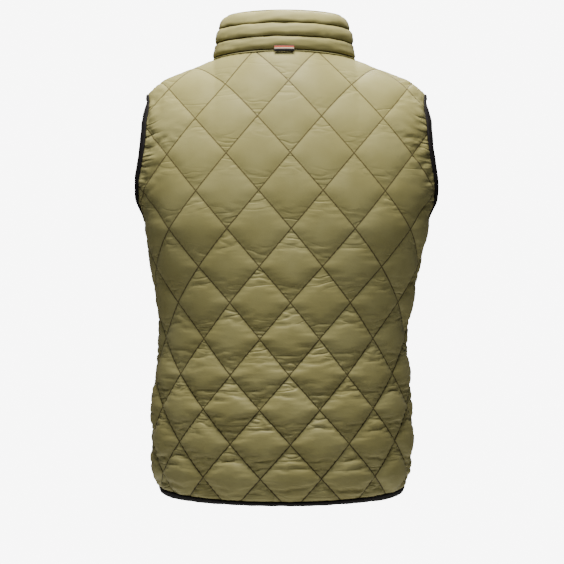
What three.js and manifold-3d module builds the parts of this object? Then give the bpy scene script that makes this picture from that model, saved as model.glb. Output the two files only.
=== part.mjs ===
// A man's diamond-quilted vest in the shape that it has when worn and zipped up: a quilted back, two quilted
// fronts, a channelled stand collar, bound armholes and hem, and a front zip.
// Millimetres, +Z up. The front faces -Y and the wearer's left is +X. The origin is in the middle of the neck,
// level with the collar's seam at the centre back, which is where the wearer's neck and shoulders hold it.
//
// Each panel is quilted as a flat slab, cut to its pattern piece and then laid on the worn form. A flat point is
// (p, q): p runs across from the panel's middle, to the right as seen from outside, and q runs up from the
// underarm level, both in millimetres of cloth.
import * as THREE from "three";
import { mergeVertices } from "three/addons/utils/BufferGeometryUtils.js";
import Module from "manifold-3d";

const wasm = await Module();
wasm.setup();

// Driving dimensions of the worn form
const CHEST_Z = -248; // the underarm level
// The neck seam: how wide it is, and where its back, front and sides lie
const NECK = { halfWidth: 103, back: { y: 66, z: 0 }, front: { y: -98, z: -84 }, side: { y: -5, z: -7 } };
const RIDGE = { slope: 0.4, tipStart: 178, tipDrop: 0.0145 }; // the line along the top of the shoulders
const ARMHOLE = { top: -60, back: 52, front: 56 }; // reaches behind and before its middle
const ARMHOLE_FLARE_POWER = 12; // keeps the flare of the armhole's edge away from the middle of the back

// The body's rings from the hem to the underarm: half its width, where its back, front and sides lie, how square
// it is (2 is an ellipse), and the share of its cloth's width that a ring takes.
const BODY_RINGS = [
  { z: -660, halfWidth: 174, back: 121, front: -113, side: -20, square: 2.0, ease: 0.95 },
  { z: -642, halfWidth: 182, back: 129, front: -118, side: -20, square: 2.0, ease: 0.95 },
  { z: -605, halfWidth: 192, back: 135, front: -122, side: -20, square: 2.0, ease: 0.95 },
  { z: -550, halfWidth: 193, back: 134, front: -122, side: -20, square: 2.0, ease: 0.94 },
  { z: -485, halfWidth: 189, back: 129, front: -119, side: -20, square: 2.0, ease: 0.93 },
  { z: -420, halfWidth: 184, back: 124, front: -119, side: -19, square: 2.05, ease: 0.93 },
  { z: -350, halfWidth: 193, back: 122, front: -125, side: -16, square: 2.2, ease: 0.96 },
  { z: -295, halfWidth: 203, back: 122, front: -129, side: -13, square: 2.4, ease: 0.99 },
  { z: CHEST_Z, halfWidth: 210, back: 122, front: -130, side: -12, square: 2.6, ease: 1.0 },
];

// Where the cloth below the underarm lies: lower down it is longer than the body is tall, so it sits in small folds.
const CLOTH_HEIGHTS = [
  { q: -460, z: -676 },
  { q: -235, z: -474.6 },
  { q: -66, z: CHEST_Z - 66 },
  { q: 0, z: CHEST_Z },
];

// How far the armhole's edge flares out past the underarm's width, by height
const ARMHOLE_FLARES = [
  { z: CHEST_Z, out: 0 },
  { z: -215, out: 15 },
  { z: -180, out: 24 },
  { z: -110, out: 25 },
  { z: -80, out: 14 },
  { z: -52, out: 0 },
  { z: 70, out: 0 },
];

// How far the wearer's stance carries the garment to its left, by height
const STANCE = [
  { z: -660, left: 2.5 },
  { z: -480, left: 2 },
  { z: -380, left: -1 },
  { z: -210, left: -4.5 },
  { z: -60, left: -4.5 },
  { z: 0, left: -1 },
];

// The collar's rings from the neck seam, 0, to its top edge, 1
const COLLAR_RINGS = [
  { v: 0, halfWidth: 103, back: 66, front: -98 },
  { v: 1 / 6, halfWidth: 100.5, back: 67, front: -100 },
  { v: 0.5, halfWidth: 98, back: 66, front: -102 },
  { v: 0.84, halfWidth: 91, back: 61, front: -101.5 },
  { v: 1, halfWidth: 84, back: 55, front: -99 },
];
const COLLAR_RISE = { back: 58, side: 62, front: 60 };
const COLLAR = { channels: 3, puff: 5, wall: 2.6, seamGap: 0.5, sideGap: 1.7 };

// Cloth and quilting
const WALL = 2.2; // the quilted cloth where stitching holds it flat
const PUFF = 6.5; // how far the middle of a diamond stands off its stitching
const PINCH = 16; // the padding thins over this distance from a seam
const BEYOND_EDGE = 0.28; // how far the outside dips past a seam, as a share of the puff, before the panel is cut
const SEAM_GAP = 0.3;
const HALF_DIAMOND = { across: 46, up: 54.5 };
const QUILT_START = { across: 3, up: 204.5, lean: 0.018 }; // a crossing of the back's stitching, in flat measure
const FACETS = { outer: 3, inner: 2 }; // cells to half a diamond
const HEM = { back: -651, side: -642, front: -640 };
const BINDING = { width: 8, out: 2.4, in: 2.6 };
const HEM_TUCK = { turn: 0.5, reach: 190 }; // how far the binding turns under at the back, in radians, and to where

// Zip
const ZIP = { gap: 6.5, chain: 2.9, tapeEnd: 17, tape: 1, chainTop: -1.6, tapeLevel: -4.5, clear: 0.4 };
const ZIP_TOP = 0.97; // where the tapes end on the collar, as a share of its height
const ZIP_TURN = 2; // where the strips leave the body and meet the collar, either side of the neck seam
const SLIDER = { width: 8.6, length: 11, plate: 1.5, corner: 2, bail: 2, bailHeight: 3.4, bailLength: 7.4, bar: 1.3 };
const SLIDER_HEIGHT = 0.85; // its place on the collar, as a share of the collar's height
const PULL = { width: 6.6, length: 27, thick: 1.2, window: 3.2, windowEnd: 8.5, bar: 0.6 };
const TAB = { halfWidth: 14, reach: 6, thick: 1.1, lift: 0.6 };
const TAB_REST = 4.4; // its lower edge's height over the back panel's stitched level

const OLIVE = { color: 0x87805a, roughness: 0.55, metalness: 0 };
const BLACK = { color: 0x17161a, roughness: 0.8, metalness: 0 };
const DARK_METAL = { color: 0x3a3936, roughness: 0.35, metalness: 0.9 };
const RUST = { color: 0x9c4a35, roughness: 0.8, metalness: 0 };

const mix = (a, b, t) => a + (b - a) * t;
const range = (n) => Array.from({ length: n + 1 }, (_, i) => i / n);

// A smooth curve through one column of a table, flat at both ends of the table and wherever it turns.
function through(rows, key, by = "z") {
  const slopes = rows.map((row, i) => {
    if (i === 0 || i === rows.length - 1) return 0;
    const before = (row[key] - rows[i - 1][key]) / (row[by] - rows[i - 1][by]);
    const after = (rows[i + 1][key] - row[key]) / (rows[i + 1][by] - row[by]);
    return before * after <= 0 ? 0 : (2 * before * after) / (before + after);
  });
  return (at) => {
    let i = 0;
    while (i < rows.length - 2 && at > rows[i + 1][by]) i++;
    const span = rows[i + 1][by] - rows[i][by];
    const t = Math.min(1, Math.max(0, (at - rows[i][by]) / span));
    const rest = 1 - t;
    return (
      rows[i][key] * rest * rest * (1 + 2 * t) +
      rows[i + 1][key] * t * t * (3 - 2 * t) +
      span * t * rest * (slopes[i] * rest - slopes[i + 1] * t)
    );
  };
}

// The value at a place in a list of places that rises, with straight lines between.
function lookUp(places, values, at) {
  let low = 0;
  let high = places.length - 1;
  while (high - low > 1) {
    const middle = (low + high) >> 1;
    if (places[middle] > at) high = middle;
    else low = middle;
  }
  const t = (at - places[low]) / (places[high] - places[low]);
  return mix(values[low], values[high], t);
}

const ringOf = Object.fromEntries(
  ["halfWidth", "back", "front", "side", "square", "ease"].map((key) => [key, through(BODY_RINGS, key)]),
);
const flareOf = through(ARMHOLE_FLARES, "out");
const stanceOf = through(STANCE, "left");
const chest = BODY_RINGS.at(-1);

// A quarter of a ring, from the middle of the back or front to the side, as lengths of cloth and places.
const quarters = new Map();
function quarterRing(face, z) {
  const key = face + z.toFixed(2);
  if (quarters.has(key)) return quarters.get(key);
  const half = ringOf.halfWidth(z);
  const side = ringOf.side(z);
  const reach = ringOf[face](z) - side;
  const power = 2 / ringOf.square(z);
  const made = { length: [0], x: [0], y: [side + reach] };
  for (const t of range(96).slice(1)) {
    const x = half * Math.sin((t * Math.PI) / 2) ** power;
    const y = side + reach * Math.max(0, Math.cos((t * Math.PI) / 2)) ** power;
    made.length.push(made.length.at(-1) + Math.hypot(x - made.x.at(-1), y - made.y.at(-1)));
    made.x.push(x);
    made.y.push(y);
  }
  quarters.set(key, made);
  return made;
}

// The depth and height of the neck seam at a distance from the centre.
function neckPlace(face, column) {
  const rest = Math.max(0, 1 - (column / NECK.halfWidth) ** 2);
  return {
    y: mix(NECK.side.y, NECK[face].y, Math.sqrt(rest)),
    z: mix(NECK.side.z, NECK[face].z, rest),
  };
}

// The height that a column of cloth would reach at the shoulders' top line. Under the neck it is the height that
// carries the cloth through the neck seam.
function topZ(face, column, reach) {
  if (column >= NECK.halfWidth) {
    const tip = Math.max(0, column - RIDGE.tipStart);
    return NECK.side.z - RIDGE.slope * (column - NECK.halfWidth) - RIDGE.tipDrop * tip ** 2;
  }
  const { y, z } = neckPlace(face, column);
  const share = (y - NECK.side.y) / reach;
  return CHEST_Z + (z - CHEST_Z) / Math.sqrt(1 - share ** 2);
}

// The cloth at a distance across from the middle, from the underarm level up to the shoulders' top line: a quarter
// of an ellipse, in the plane of its column.
const columns = new Map();
function columnPath(face, across) {
  const key = face + across.toFixed(3);
  if (columns.has(key)) return columns.get(key);
  const ring = quarterRing(face, CHEST_Z);
  const column = lookUp(ring.length, ring.x, across);
  const reach = lookUp(ring.length, ring.y, across) - NECK.side.y;
  const rise = topZ(face, column, reach) - CHEST_Z;
  const made = { column, length: [0], y: [NECK.side.y + reach], z: [CHEST_Z] };
  for (const t of range(64).slice(1)) {
    const y = NECK.side.y + reach * Math.cos((t * Math.PI) / 2);
    const z = CHEST_Z + rise * Math.sin((t * Math.PI) / 2);
    made.length.push(made.length.at(-1) + Math.hypot(y - made.y.at(-1), z - made.z.at(-1)));
    made.y.push(y);
    made.z.push(z);
  }
  columns.set(key, made);
  return made;
}

const heights = { q: CLOTH_HEIGHTS.map(({ q }) => q), z: CLOTH_HEIGHTS.map(({ z }) => z) };
const lowerZ = (q) => lookUp(heights.q, heights.z, q);
const lowerQ = (z) => lookUp(heights.z, heights.q, z);
const flared = (column, z) => column + flareOf(z) * (column / chest.halfWidth) ** ARMHOLE_FLARE_POWER;

// Where a flat point of the back or of a front lies on the worn form.
function worn(face, p, q) {
  const toRight = face === "back" ? -1 : 1;
  const across = Math.abs(p);
  const point = new THREE.Vector3();
  if (q < 0) {
    const z = lowerZ(q);
    const ring = quarterRing(face, z);
    const length = across * ringOf.ease(z);
    point.set(lookUp(ring.length, ring.x, length), lookUp(ring.length, ring.y, length), z);
  } else {
    const path = columnPath(face, across);
    const z = lookUp(path.length, path.z, q);
    point.set(flared(path.column, z), lookUp(path.length, path.y, q), z);
  }
  point.x = point.x * toRight * (p < 0 ? -1 : 1) + stanceOf(point.z);
  return point;
}

// The worn cloth's outward direction at a flat point.
function outward(face, p, q) {
  const step = 1;
  const side = p < 0 ? -1 : 1;
  const across = worn(face, p + side * step, q).sub(worn(face, p, q)).multiplyScalar(side);
  const up = worn(face, p, q + step).sub(worn(face, p, q - step));
  return across.cross(up).normalize();
}

// How far across from the middle a column of cloth lies in flat measure.
function flatAcross(face, column) {
  const ring = quarterRing(face, CHEST_Z);
  return lookUp(ring.x, ring.length, column);
}

// The flat point above the underarm level that has a given depth and height when worn.
function flatAt(face, y, z) {
  const sign = face === "back" ? 1 : -1;
  let low = 0;
  let high = quarterRing(face, CHEST_Z).length.at(-1);
  for (let i = 0; i < 50; i++) {
    const middle = (low + high) / 2;
    const path = columnPath(face, middle);
    const beyond = z > path.z.at(-1) || sign * (lookUp(path.z, path.y, z) - y) < 0;
    if (beyond) high = middle;
    else low = middle;
  }
  const path = columnPath(face, low);
  return [low, lookUp(path.z, path.length, z)];
}

// The neck seam's flat point at a distance from the centre.
function neckFlat(face, column) {
  const across = flatAcross(face, column);
  const path = columnPath(face, across);
  return [across, lookUp(path.z, path.length, neckPlace(face, column).z)];
}

// The neck seam at an angle round the neck, 0 at the centre back: its face and flat point.
function neckSeam(angle) {
  const face = Math.cos(angle) >= 0 ? "back" : "front";
  return { face, flat: neckFlat(face, NECK.halfWidth * Math.abs(Math.sin(angle))) };
}

// The right half of a panel's edge, from the hem at its side up to the neck at its middle, as flat points.
function sideSeam(face) {
  const bottom = lowerQ(HEM.side);
  return range(22).map((t) => {
    const q = mix(bottom, 0, t);
    const ring = quarterRing(face, lowerZ(q));
    return [ring.length.at(-1) / ringOf.ease(lowerZ(q)), q];
  });
}

function armhole(face, steps = 18) {
  const middle = (ARMHOLE.top + CHEST_Z) / 2;
  const half = (ARMHOLE.top - CHEST_Z) / 2;
  const reach = face === "back" ? ARMHOLE.back : -ARMHOLE.front;
  return range(steps)
    .slice(1)
    .map((t) => {
      const z = middle - half * Math.cos(t * Math.PI);
      const y = mix(chest.side, NECK.side.y, t) + reach * Math.sin(t * Math.PI);
      return flatAt(face, y, z);
    });
}

function shoulderSeam(face) {
  const tip = columnPath(face, armhole(face).at(-1)[0]).column;
  return range(18)
    .slice(1, -1)
    .map((t) => {
      const across = flatAcross(face, mix(tip, NECK.halfWidth, t ** 1.35));
      return [across, columnPath(face, across).length.at(-1)];
    });
}

const NECK_STATIONS = 12; // in a quarter of the neck
function neckEdge(face) {
  return range(NECK_STATIONS).map((t) => neckFlat(face, NECK.halfWidth * Math.cos((t * Math.PI) / 2)));
}

function hemEdge(face, from, to) {
  const half = sideSeam(face)[0][0];
  return range(24).map((t) => {
    const p = mix(from, to, t);
    const share = Math.min(1, Math.abs(p) / half) ** 2;
    return [p, lowerQ(mix(HEM[face], HEM.side, share))];
  });
}

// A panel's whole edge, anticlockwise as seen from outside.
function pattern(face) {
  const rise = [...sideSeam(face), ...armhole(face), ...shoulderSeam(face), ...neckEdge(face)];
  const corner = rise[0][0];
  if (face === "back") {
    const mirrored = rise.slice(1, -1).map(([p, q]) => [-p, q]);
    return [...hemEdge(face, -corner, corner).slice(0, -1), ...rise, ...mirrored.reverse()];
  }
  const above = rise.filter(([p]) => p > ZIP.gap + 1);
  const topQ = neckEdge(face).at(-1)[1];
  return [...hemEdge(face, ZIP.gap, corner).slice(0, -1), ...above, [ZIP.gap, topQ]];
}

// A closed outline drawn in by a distance.
function drawnIn(outline, distance) {
  const count = outline.length;
  return outline.map(([p, q], i) => {
    const before = outline[(i + count - 1) % count];
    const after = outline[(i + 1) % count];
    const sides = [
      [p - before[0], q - before[1]],
      [after[0] - p, after[1] - q],
    ].map(([x, y]) => [-y / Math.hypot(x, y), x / Math.hypot(x, y)]);
    const sum = [sides[0][0] + sides[1][0], sides[0][1] + sides[1][1]];
    const scale = (2 * distance) / Math.max(0.8, sum[0] ** 2 + sum[1] ** 2);
    return [p + sum[0] * scale, q + sum[1] * scale];
  });
}

// How far inside a closed outline a flat point lies.
function depthInside(outline, p, q) {
  let best = Infinity;
  let inside = false;
  outline.forEach(([ap, aq], i) => {
    const [bp, bq] = outline[(i + 1) % outline.length];
    const [dp, dq] = [bp - ap, bq - aq];
    const t = Math.min(1, Math.max(0, ((p - ap) * dp + (q - aq) * dq) / (dp * dp + dq * dq)));
    best = Math.min(best, Math.hypot(p - ap - t * dp, q - aq - t * dq));
    if (aq > q !== bq > q && p < ap + (dp * (q - aq)) / dq) inside = !inside;
  });
  return inside ? best : -best;
}

// How full the padding is at a flat point: 0 on the diamonds' stitching and at the seams, 1 in a diamond's middle.
function fullness(outline, start, p, q) {
  const across = (p - start.across - start.lean * (start.up - q)) / HALF_DIAMOND.across;
  const up = (q - start.up) / HALF_DIAMOND.up + 1;
  const off = [across + up, across - up].map((v) => Math.abs(v - 2 * Math.round(v / 2)));
  const inside = Math.max(0, (1 - off[0] ** 2) * (1 - off[1] ** 2));
  const edge = Math.min(1, depthInside(outline, p, q) / PINCH);
  return edge < 0 ? Math.max(-BEYOND_EDGE, edge) : inside ** 0.65 * edge * Math.sqrt(3 - 2 * edge);
}

// Geometry from corner points and triangles.
function geometryOf(points, triangles) {
  const made = new THREE.BufferGeometry();
  made.setAttribute("position", new THREE.Float32BufferAttribute(points.flat(), 3));
  made.setIndex(triangles.flat());
  return made;
}

function solidOf(geometry) {
  const bare = geometry.clone();
  bare.deleteAttribute("normal");
  bare.deleteAttribute("uv");
  const merged = mergeVertices(bare, 1e-4);
  return new wasm.Manifold(
    new wasm.Mesh({
      numProp: 3,
      vertProperties: new Float32Array(merged.attributes.position.array),
      triVerts: new Uint32Array(merged.index.array),
    }),
  );
}

// A solid's surface again as geometry, with each point moved by a rule.
function geometryFrom(solid, move = (x, y, z) => [x, y, z]) {
  const mesh = solid.getMesh();
  const points = [];
  for (let i = 0; i < mesh.numVert; i++) {
    points.push(move(...mesh.vertProperties.subarray(i * mesh.numProp, i * mesh.numProp + 3)));
  }
  const made = geometryOf(points, Array.from(mesh.triVerts));
  made.computeVertexNormals();
  return made;
}

// Triangles between two rows of points that run the same way, given by their numbers and places along the row.
function between(rowA, rowB) {
  const made = [];
  let [a, b] = [0, 0];
  while (a < rowA.length - 1 || b < rowB.length - 1) {
    const moveA = b === rowB.length - 1 || (a < rowA.length - 1 && rowA[a + 1].at <= rowB[b + 1].at);
    if (moveA) made.push([rowA[a].i, rowA[a + 1].i, rowB[b].i]);
    else made.push([rowA[a].i, rowB[b + 1].i, rowB[b].i]);
    if (moveA) a++;
    else b++;
  }
  return made;
}

// A flat slab of quilted cloth that covers an outline, its diamonds raised on the outside over a plain inside.
function quiltedSlab(outline, start) {
  const box = new THREE.Box2().setFromPoints(outline.map(([p, q]) => new THREE.Vector2(p, q)));
  const lowest = {
    p: Math.floor((box.min.x - start.across) / HALF_DIAMOND.across - 0.3),
    q: Math.floor((box.min.y - start.up) / HALF_DIAMOND.up - 0.3),
  };
  const cells = {
    p: Math.ceil((box.max.x - start.across) / HALF_DIAMOND.across + 0.3) - lowest.p,
    q: Math.ceil((box.max.y - start.up) / HALF_DIAMOND.up + 0.3) - lowest.q,
  };
  const points = [];
  const triangles = [];
  const sheet = (perHalf, height, facing) => {
    const first = points.length;
    const [wide, tall] = [cells.p * perHalf, cells.q * perHalf];
    const number = (i, j) => first + j * (wide + 1) + i;
    for (let j = 0; j <= tall; j++) {
      for (let i = 0; i <= wide; i++) {
        const q = start.up + HALF_DIAMOND.up * (lowest.q + j / perHalf);
        const p = start.across + start.lean * (start.up - q) + HALF_DIAMOND.across * (lowest.p + i / perHalf);
        points.push([p, q, height(p, q)]);
      }
    }
    for (let j = 0; j < tall; j++) {
      for (let i = 0; i < wide; i++) {
        // Each cell's diagonal runs along the nearest stitching.
        const across = lowest.p + (i + 0.5) / perHalf;
        const up = lowest.q + 1 + (j + 0.5) / perHalf;
        const [u, v] = [2 * Math.round((across + up) / 2), 2 * Math.round((across - up) / 2)];
        const falling = (across - (u + v) / 2) * (up - (u - v) / 2) > 0;
        const [a, b, c, d] = [number(i, j), number(i + 1, j), number(i + 1, j + 1), number(i, j + 1)];
        const pair = falling ? [[a, b, d], [b, c, d]] : [[a, b, c], [a, c, d]];
        triangles.push(...pair.map((t) => (facing > 0 ? t : [...t].reverse())));
      }
    }
    const rows = {
      bottom: range(wide).map((t, i) => ({ i: number(i, 0), at: t })),
      top: range(wide).map((t, i) => ({ i: number(i, tall), at: t })),
      left: range(tall).map((t, j) => ({ i: number(0, j), at: t })),
      right: range(tall).map((t, j) => ({ i: number(wide, j), at: t })),
    };
    return rows;
  };
  const outer = sheet(FACETS.outer, (p, q) => PUFF * fullness(outline, start, p, q), 1);
  const inner = sheet(FACETS.inner, () => -WALL, -1);
  triangles.push(
    ...between(inner.bottom, outer.bottom),
    ...between(inner.right, outer.right),
    ...between(outer.top, inner.top),
    ...between(outer.left, inner.left),
  );
  return solidOf(geometryOf(points, triangles));
}

// A panel: its slab cut to its outline, then laid on the worn form.
function panel(face, outline, start) {
  const slab = quiltedSlab(outline, start);
  const shape = new THREE.Shape(drawnIn(outline, SEAM_GAP / 2).map(([p, q]) => new THREE.Vector2(p, q)));
  const depth = 4 * (PUFF + WALL);
  const cutter = new THREE.ExtrudeGeometry(shape, { depth, bevelEnabled: false, curveSegments: 1 });
  cutter.translate(0, 0, -depth / 2);
  const cut = slab.intersect(solidOf(cutter));
  return geometryFrom(cut, (p, q, w) => {
    return worn(face, p, q).addScaledVector(outward(face, p, q), w).toArray();
  });
}

// A closed surface over rows of points that all run the same way round. With a cap shape its ends are closed, or
// else its last row joins its first.
function skin(rows, capShape) {
  const around = rows[0].length;
  const points = rows.flat();
  const triangles = [];
  const rounds = capShape ? rows.length - 1 : rows.length;
  for (let i = 0; i < rounds; i++) {
    for (let k = 0; k < around; k++) {
      const [a, b] = [i * around + k, i * around + ((k + 1) % around)];
      const [c, d] = [a, b].map((n) => (n + around) % points.length);
      triangles.push([a, b, c], [b, d, c]);
    }
  }
  if (capShape) {
    const shape = capShape.map(([x, y]) => new THREE.Vector2(x, y));
    const sense = Math.sign(THREE.ShapeUtils.area(shape));
    const last = points.length - around;
    for (const t of THREE.ShapeUtils.triangulateShape(shape, [])) {
      const same = Math.sign(THREE.ShapeUtils.area(t.map((n) => shape[n]))) === sense;
      const [a, b, c] = same ? t : [...t].reverse();
      triangles.push([a, c, b], [last + a, last + b, last + c]);
    }
  }
  const made = geometryOf(points, triangles);
  if (solidOf(made).volume() < 0) made.setIndex(triangles.map((t) => [...t].reverse()).flat());
  made.computeVertexNormals();
  return made;
}

// A section swept through stations, each with its place and two directions.
function sweep(stations, section, closed = false) {
  const rows = stations.map(({ at, across, out }) =>
    section.map(([u, w]) => at.clone().addScaledVector(across, u).addScaledVector(out, w).toArray()),
  );
  return skin(rows, closed ? null : section);
}

// A binding's section: from the cloth's cut edge to its fold, with rounded corners.
const bindingSection = [
  [SEAM_GAP / 2, -BINDING.in],
  [BINDING.width * 0.8, -BINDING.in],
  [BINDING.width, -BINDING.in * 0.35],
  [BINDING.width, BINDING.out * 0.35],
  [BINDING.width * 0.8, BINDING.out],
  [SEAM_GAP / 2, BINDING.out],
];

// Stations along flat points: across is the way out of the cloth at its edge, square to the edge.
function edgeStations(edge, closed) {
  const places = edge.map(({ face, flat }) => worn(face, ...flat));
  return edge.map(({ face, flat }, i) => {
    const next = places[closed ? (i + 1) % edge.length : Math.min(i + 1, edge.length - 1)];
    const before = places[closed ? (i + edge.length - 1) % edge.length : Math.max(i - 1, 0)];
    const out = outward(face, ...flat);
    const along = next.clone().sub(before).normalize();
    const across = along.clone().cross(out).normalize();
    return { at: places[i], across, out: across.clone().cross(along).normalize().multiplyScalar(-1), flat };
  });
}

const asEdge = (face, points, side) => points.map(([p, q]) => ({ face, flat: [side * p, q] }));

// An armhole's binding runs down its front edge and up its back edge. Side is 1 at the wearer's left.
function armholeBinding(side) {
  const down = armhole("front").reverse();
  const up = armhole("back").slice(0, -1);
  const under = [0, 0];
  under[0] = sideSeam("back").at(-1)[0];
  const edge = [
    ...asEdge("front", down, side),
    ...asEdge("back", [under, ...up], -side),
  ];
  const stations = edgeStations(edge, true);
  const middle = new THREE.Vector3(side * chest.halfWidth, ARMHOLE.y, (ARMHOLE.top + CHEST_Z) / 2);
  for (const station of stations) {
    if (station.across.dot(middle.clone().sub(station.at)) < 0) station.across.multiplyScalar(-1);
    if (station.out.x * side < 0) station.out.multiplyScalar(-1);
  }
  return sweep(stations, bindingSection, true);
}

// The hem's binding runs from the zip round the back to the zip again, and turns under at the centre back.
function hemBinding() {
  const halfFront = sideSeam("front")[0][0];
  const halfBack = sideSeam("back")[0][0];
  const right = hemEdge("front", -ZIP.gap, -halfFront).slice(0, -1);
  const back = hemEdge("back", halfBack, -halfBack);
  const left = hemEdge("front", halfFront, ZIP.gap).slice(1);
  const faces = [...right.map(() => "front"), ...back.map(() => "back"), ...left.map(() => "front")];
  const edge = [...right, ...back, ...left].map((flat, i) => ({ face: faces[i], flat }));
  const stations = edgeStations(edge, false);
  stations.forEach((station, i) => {
    if (station.across.z > 0) station.across.multiplyScalar(-1);
    const centre = new THREE.Vector3(0, 0, station.at.z);
    if (station.out.dot(station.at.clone().sub(centre)) < 0) station.out.multiplyScalar(-1);
    // The binding turns about its inner upper corner, so it stays clear of the cloth.
    const share = Math.max(0, 1 - Math.abs(station.flat[0]) / HEM_TUCK.reach);
    const turn = faces[i] === "back" ? HEM_TUCK.turn * Math.sin((share * Math.PI) / 2) : 0;
    const { across, out } = station;
    station.across = across.clone().multiplyScalar(Math.cos(turn)).addScaledVector(out, -Math.sin(turn));
    station.out = out.clone().multiplyScalar(Math.cos(turn)).addScaledVector(across, Math.sin(turn));
    const corner = [SEAM_GAP / 2, -BINDING.in];
    station.at = station.at
      .clone()
      .addScaledVector(across, corner[0])
      .addScaledVector(out, corner[1])
      .addScaledVector(station.across, -corner[0])
      .addScaledVector(station.out, -corner[1]);
  });
  return sweep(stations, bindingSection, false);
}

// The collar's middle surface: an angle round the neck, 0 at the centre back, and a height share.
const collarRing = Object.fromEntries(
  ["halfWidth", "back", "front"].map((key) => [key, through(COLLAR_RINGS, key, "v")]),
);
function collarPoint(angle, v) {
  const seam = neckSeam(angle);
  const base = worn(seam.face, ...seam.flat);
  const cosine = Math.cos(angle);
  const [front, back] = [Math.max(0, -cosine) ** 2, Math.max(0, cosine) ** 2];
  const rise = mix(mix(COLLAR_RISE.side, COLLAR_RISE.back, back), COLLAR_RISE.front, front);
  const depth = collarRing[cosine >= 0 ? "back" : "front"](v) - NECK.side.y;
  return new THREE.Vector3(
    stanceOf(base.z) - collarRing.halfWidth(v) * Math.sin(angle),
    NECK.side.y + depth * Math.abs(cosine),
    base.z + mix(COLLAR.sideGap, COLLAR.seamGap, cosine ** 2) + rise * v,
  );
}

function collarOutward(angle, v) {
  const step = 0.01;
  const around = collarPoint(angle + step, v).sub(collarPoint(angle - step, v));
  const up = collarPoint(angle, Math.min(1, v + step)).sub(collarPoint(angle, Math.max(0, v - step)));
  return around.cross(up).normalize();
}

// The collar's outline at one angle: three padded channels outside, a rounded top fold, and a plain inside.
const collarSection = [
  ...range(4 * COLLAR.channels).map((v) => {
    const share = (v * COLLAR.channels) % 1;
    const bump = v === 1 ? 0.45 : Math.sqrt(Math.max(0, 1 - (2 * share - 1) ** 2));
    return { v, out: COLLAR.puff * bump + 0.1 };
  }),
  { v: 1, out: -COLLAR.wall * 0.6, up: 0.6 },
  ...[0.96, 0.75, 0.5, 0.25, 0].map((v) => ({ v, out: -COLLAR.wall })),
];

function collar() {
  const rows = range(4 * NECK_STATIONS).map((t) =>
    collarSection.map(({ v, out, up = 0 }) => {
      const limit = Math.PI - Math.asin((ZIP.gap + SEAM_GAP / 2) / collarRing.halfWidth(v));
      const angle = Math.max(-limit, Math.min(limit, mix(-Math.PI, Math.PI, t)));
      const at = collarPoint(angle, v).addScaledVector(collarOutward(angle, v), out);
      return [at.x, at.y, at.z + up];
    }),
  );
  return skin(rows, collarSection.map(({ v, out }) => [out, v * COLLAR_RISE.front]));
}

// A strip behind the zip's line from the hem up to a height share of the collar. Its section is given by distances
// to the wearer's left of the centre and outward from the cloth's stitched level.
function zipStrip(section, topShare) {
  const bottom = lowerQ(HEM.front) - BINDING.width;
  const seam = neckEdge("front").at(-1)[1];
  const body = range(30).map((t) => {
    const q = mix(bottom, seam - ZIP_TURN, t);
    return section.map(([p, w]) => worn("front", p, q).addScaledVector(outward("front", p, q), w).toArray());
  });
  const neck = range(6).map((t) => {
    const v = mix(ZIP_TURN / COLLAR_RISE.front, topShare, t);
    return section.map(([p, w]) => {
      const angle = Math.PI + Math.asin(p / collarRing.halfWidth(v));
      return collarPoint(angle, v).addScaledVector(collarOutward(angle, v), w).toArray();
    });
  });
  return skin([...body, ...neck], section);
}

const tapeSection = (side) => {
  const columnsOf = [ZIP.chain + ZIP.clear, mix(ZIP.chain, ZIP.tapeEnd, 0.5), ZIP.tapeEnd].map((p) => side * p);
  return [
    ...columnsOf.map((p) => [p, ZIP.tapeLevel - ZIP.tape]),
    ...columnsOf.reverse().map((p) => [p, ZIP.tapeLevel]),
  ];
};

const chainSection = [
  [-ZIP.chain, ZIP.tapeLevel - ZIP.tape],
  [ZIP.chain, ZIP.tapeLevel - ZIP.tape],
  [ZIP.chain, ZIP.chainTop - 0.7],
  [ZIP.chain * 0.7, ZIP.chainTop],
  [-ZIP.chain * 0.7, ZIP.chainTop],
  [-ZIP.chain, ZIP.chainTop - 0.7],
];

const roundedPlate = (width, length, corner) => {
  const [x, y] = [width / 2, length / 2];
  const shape = new THREE.Shape();
  shape.moveTo(-x + corner, -y).lineTo(x - corner, -y).quadraticCurveTo(x, -y, x, -y + corner);
  shape.lineTo(x, y - corner).quadraticCurveTo(x, y, x - corner, y);
  shape.lineTo(-x + corner, y).quadraticCurveTo(-x, y, -x, y - corner);
  shape.lineTo(-x, -y + corner).quadraticCurveTo(-x, -y, -x + corner, -y);
  return shape;
};

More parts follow.
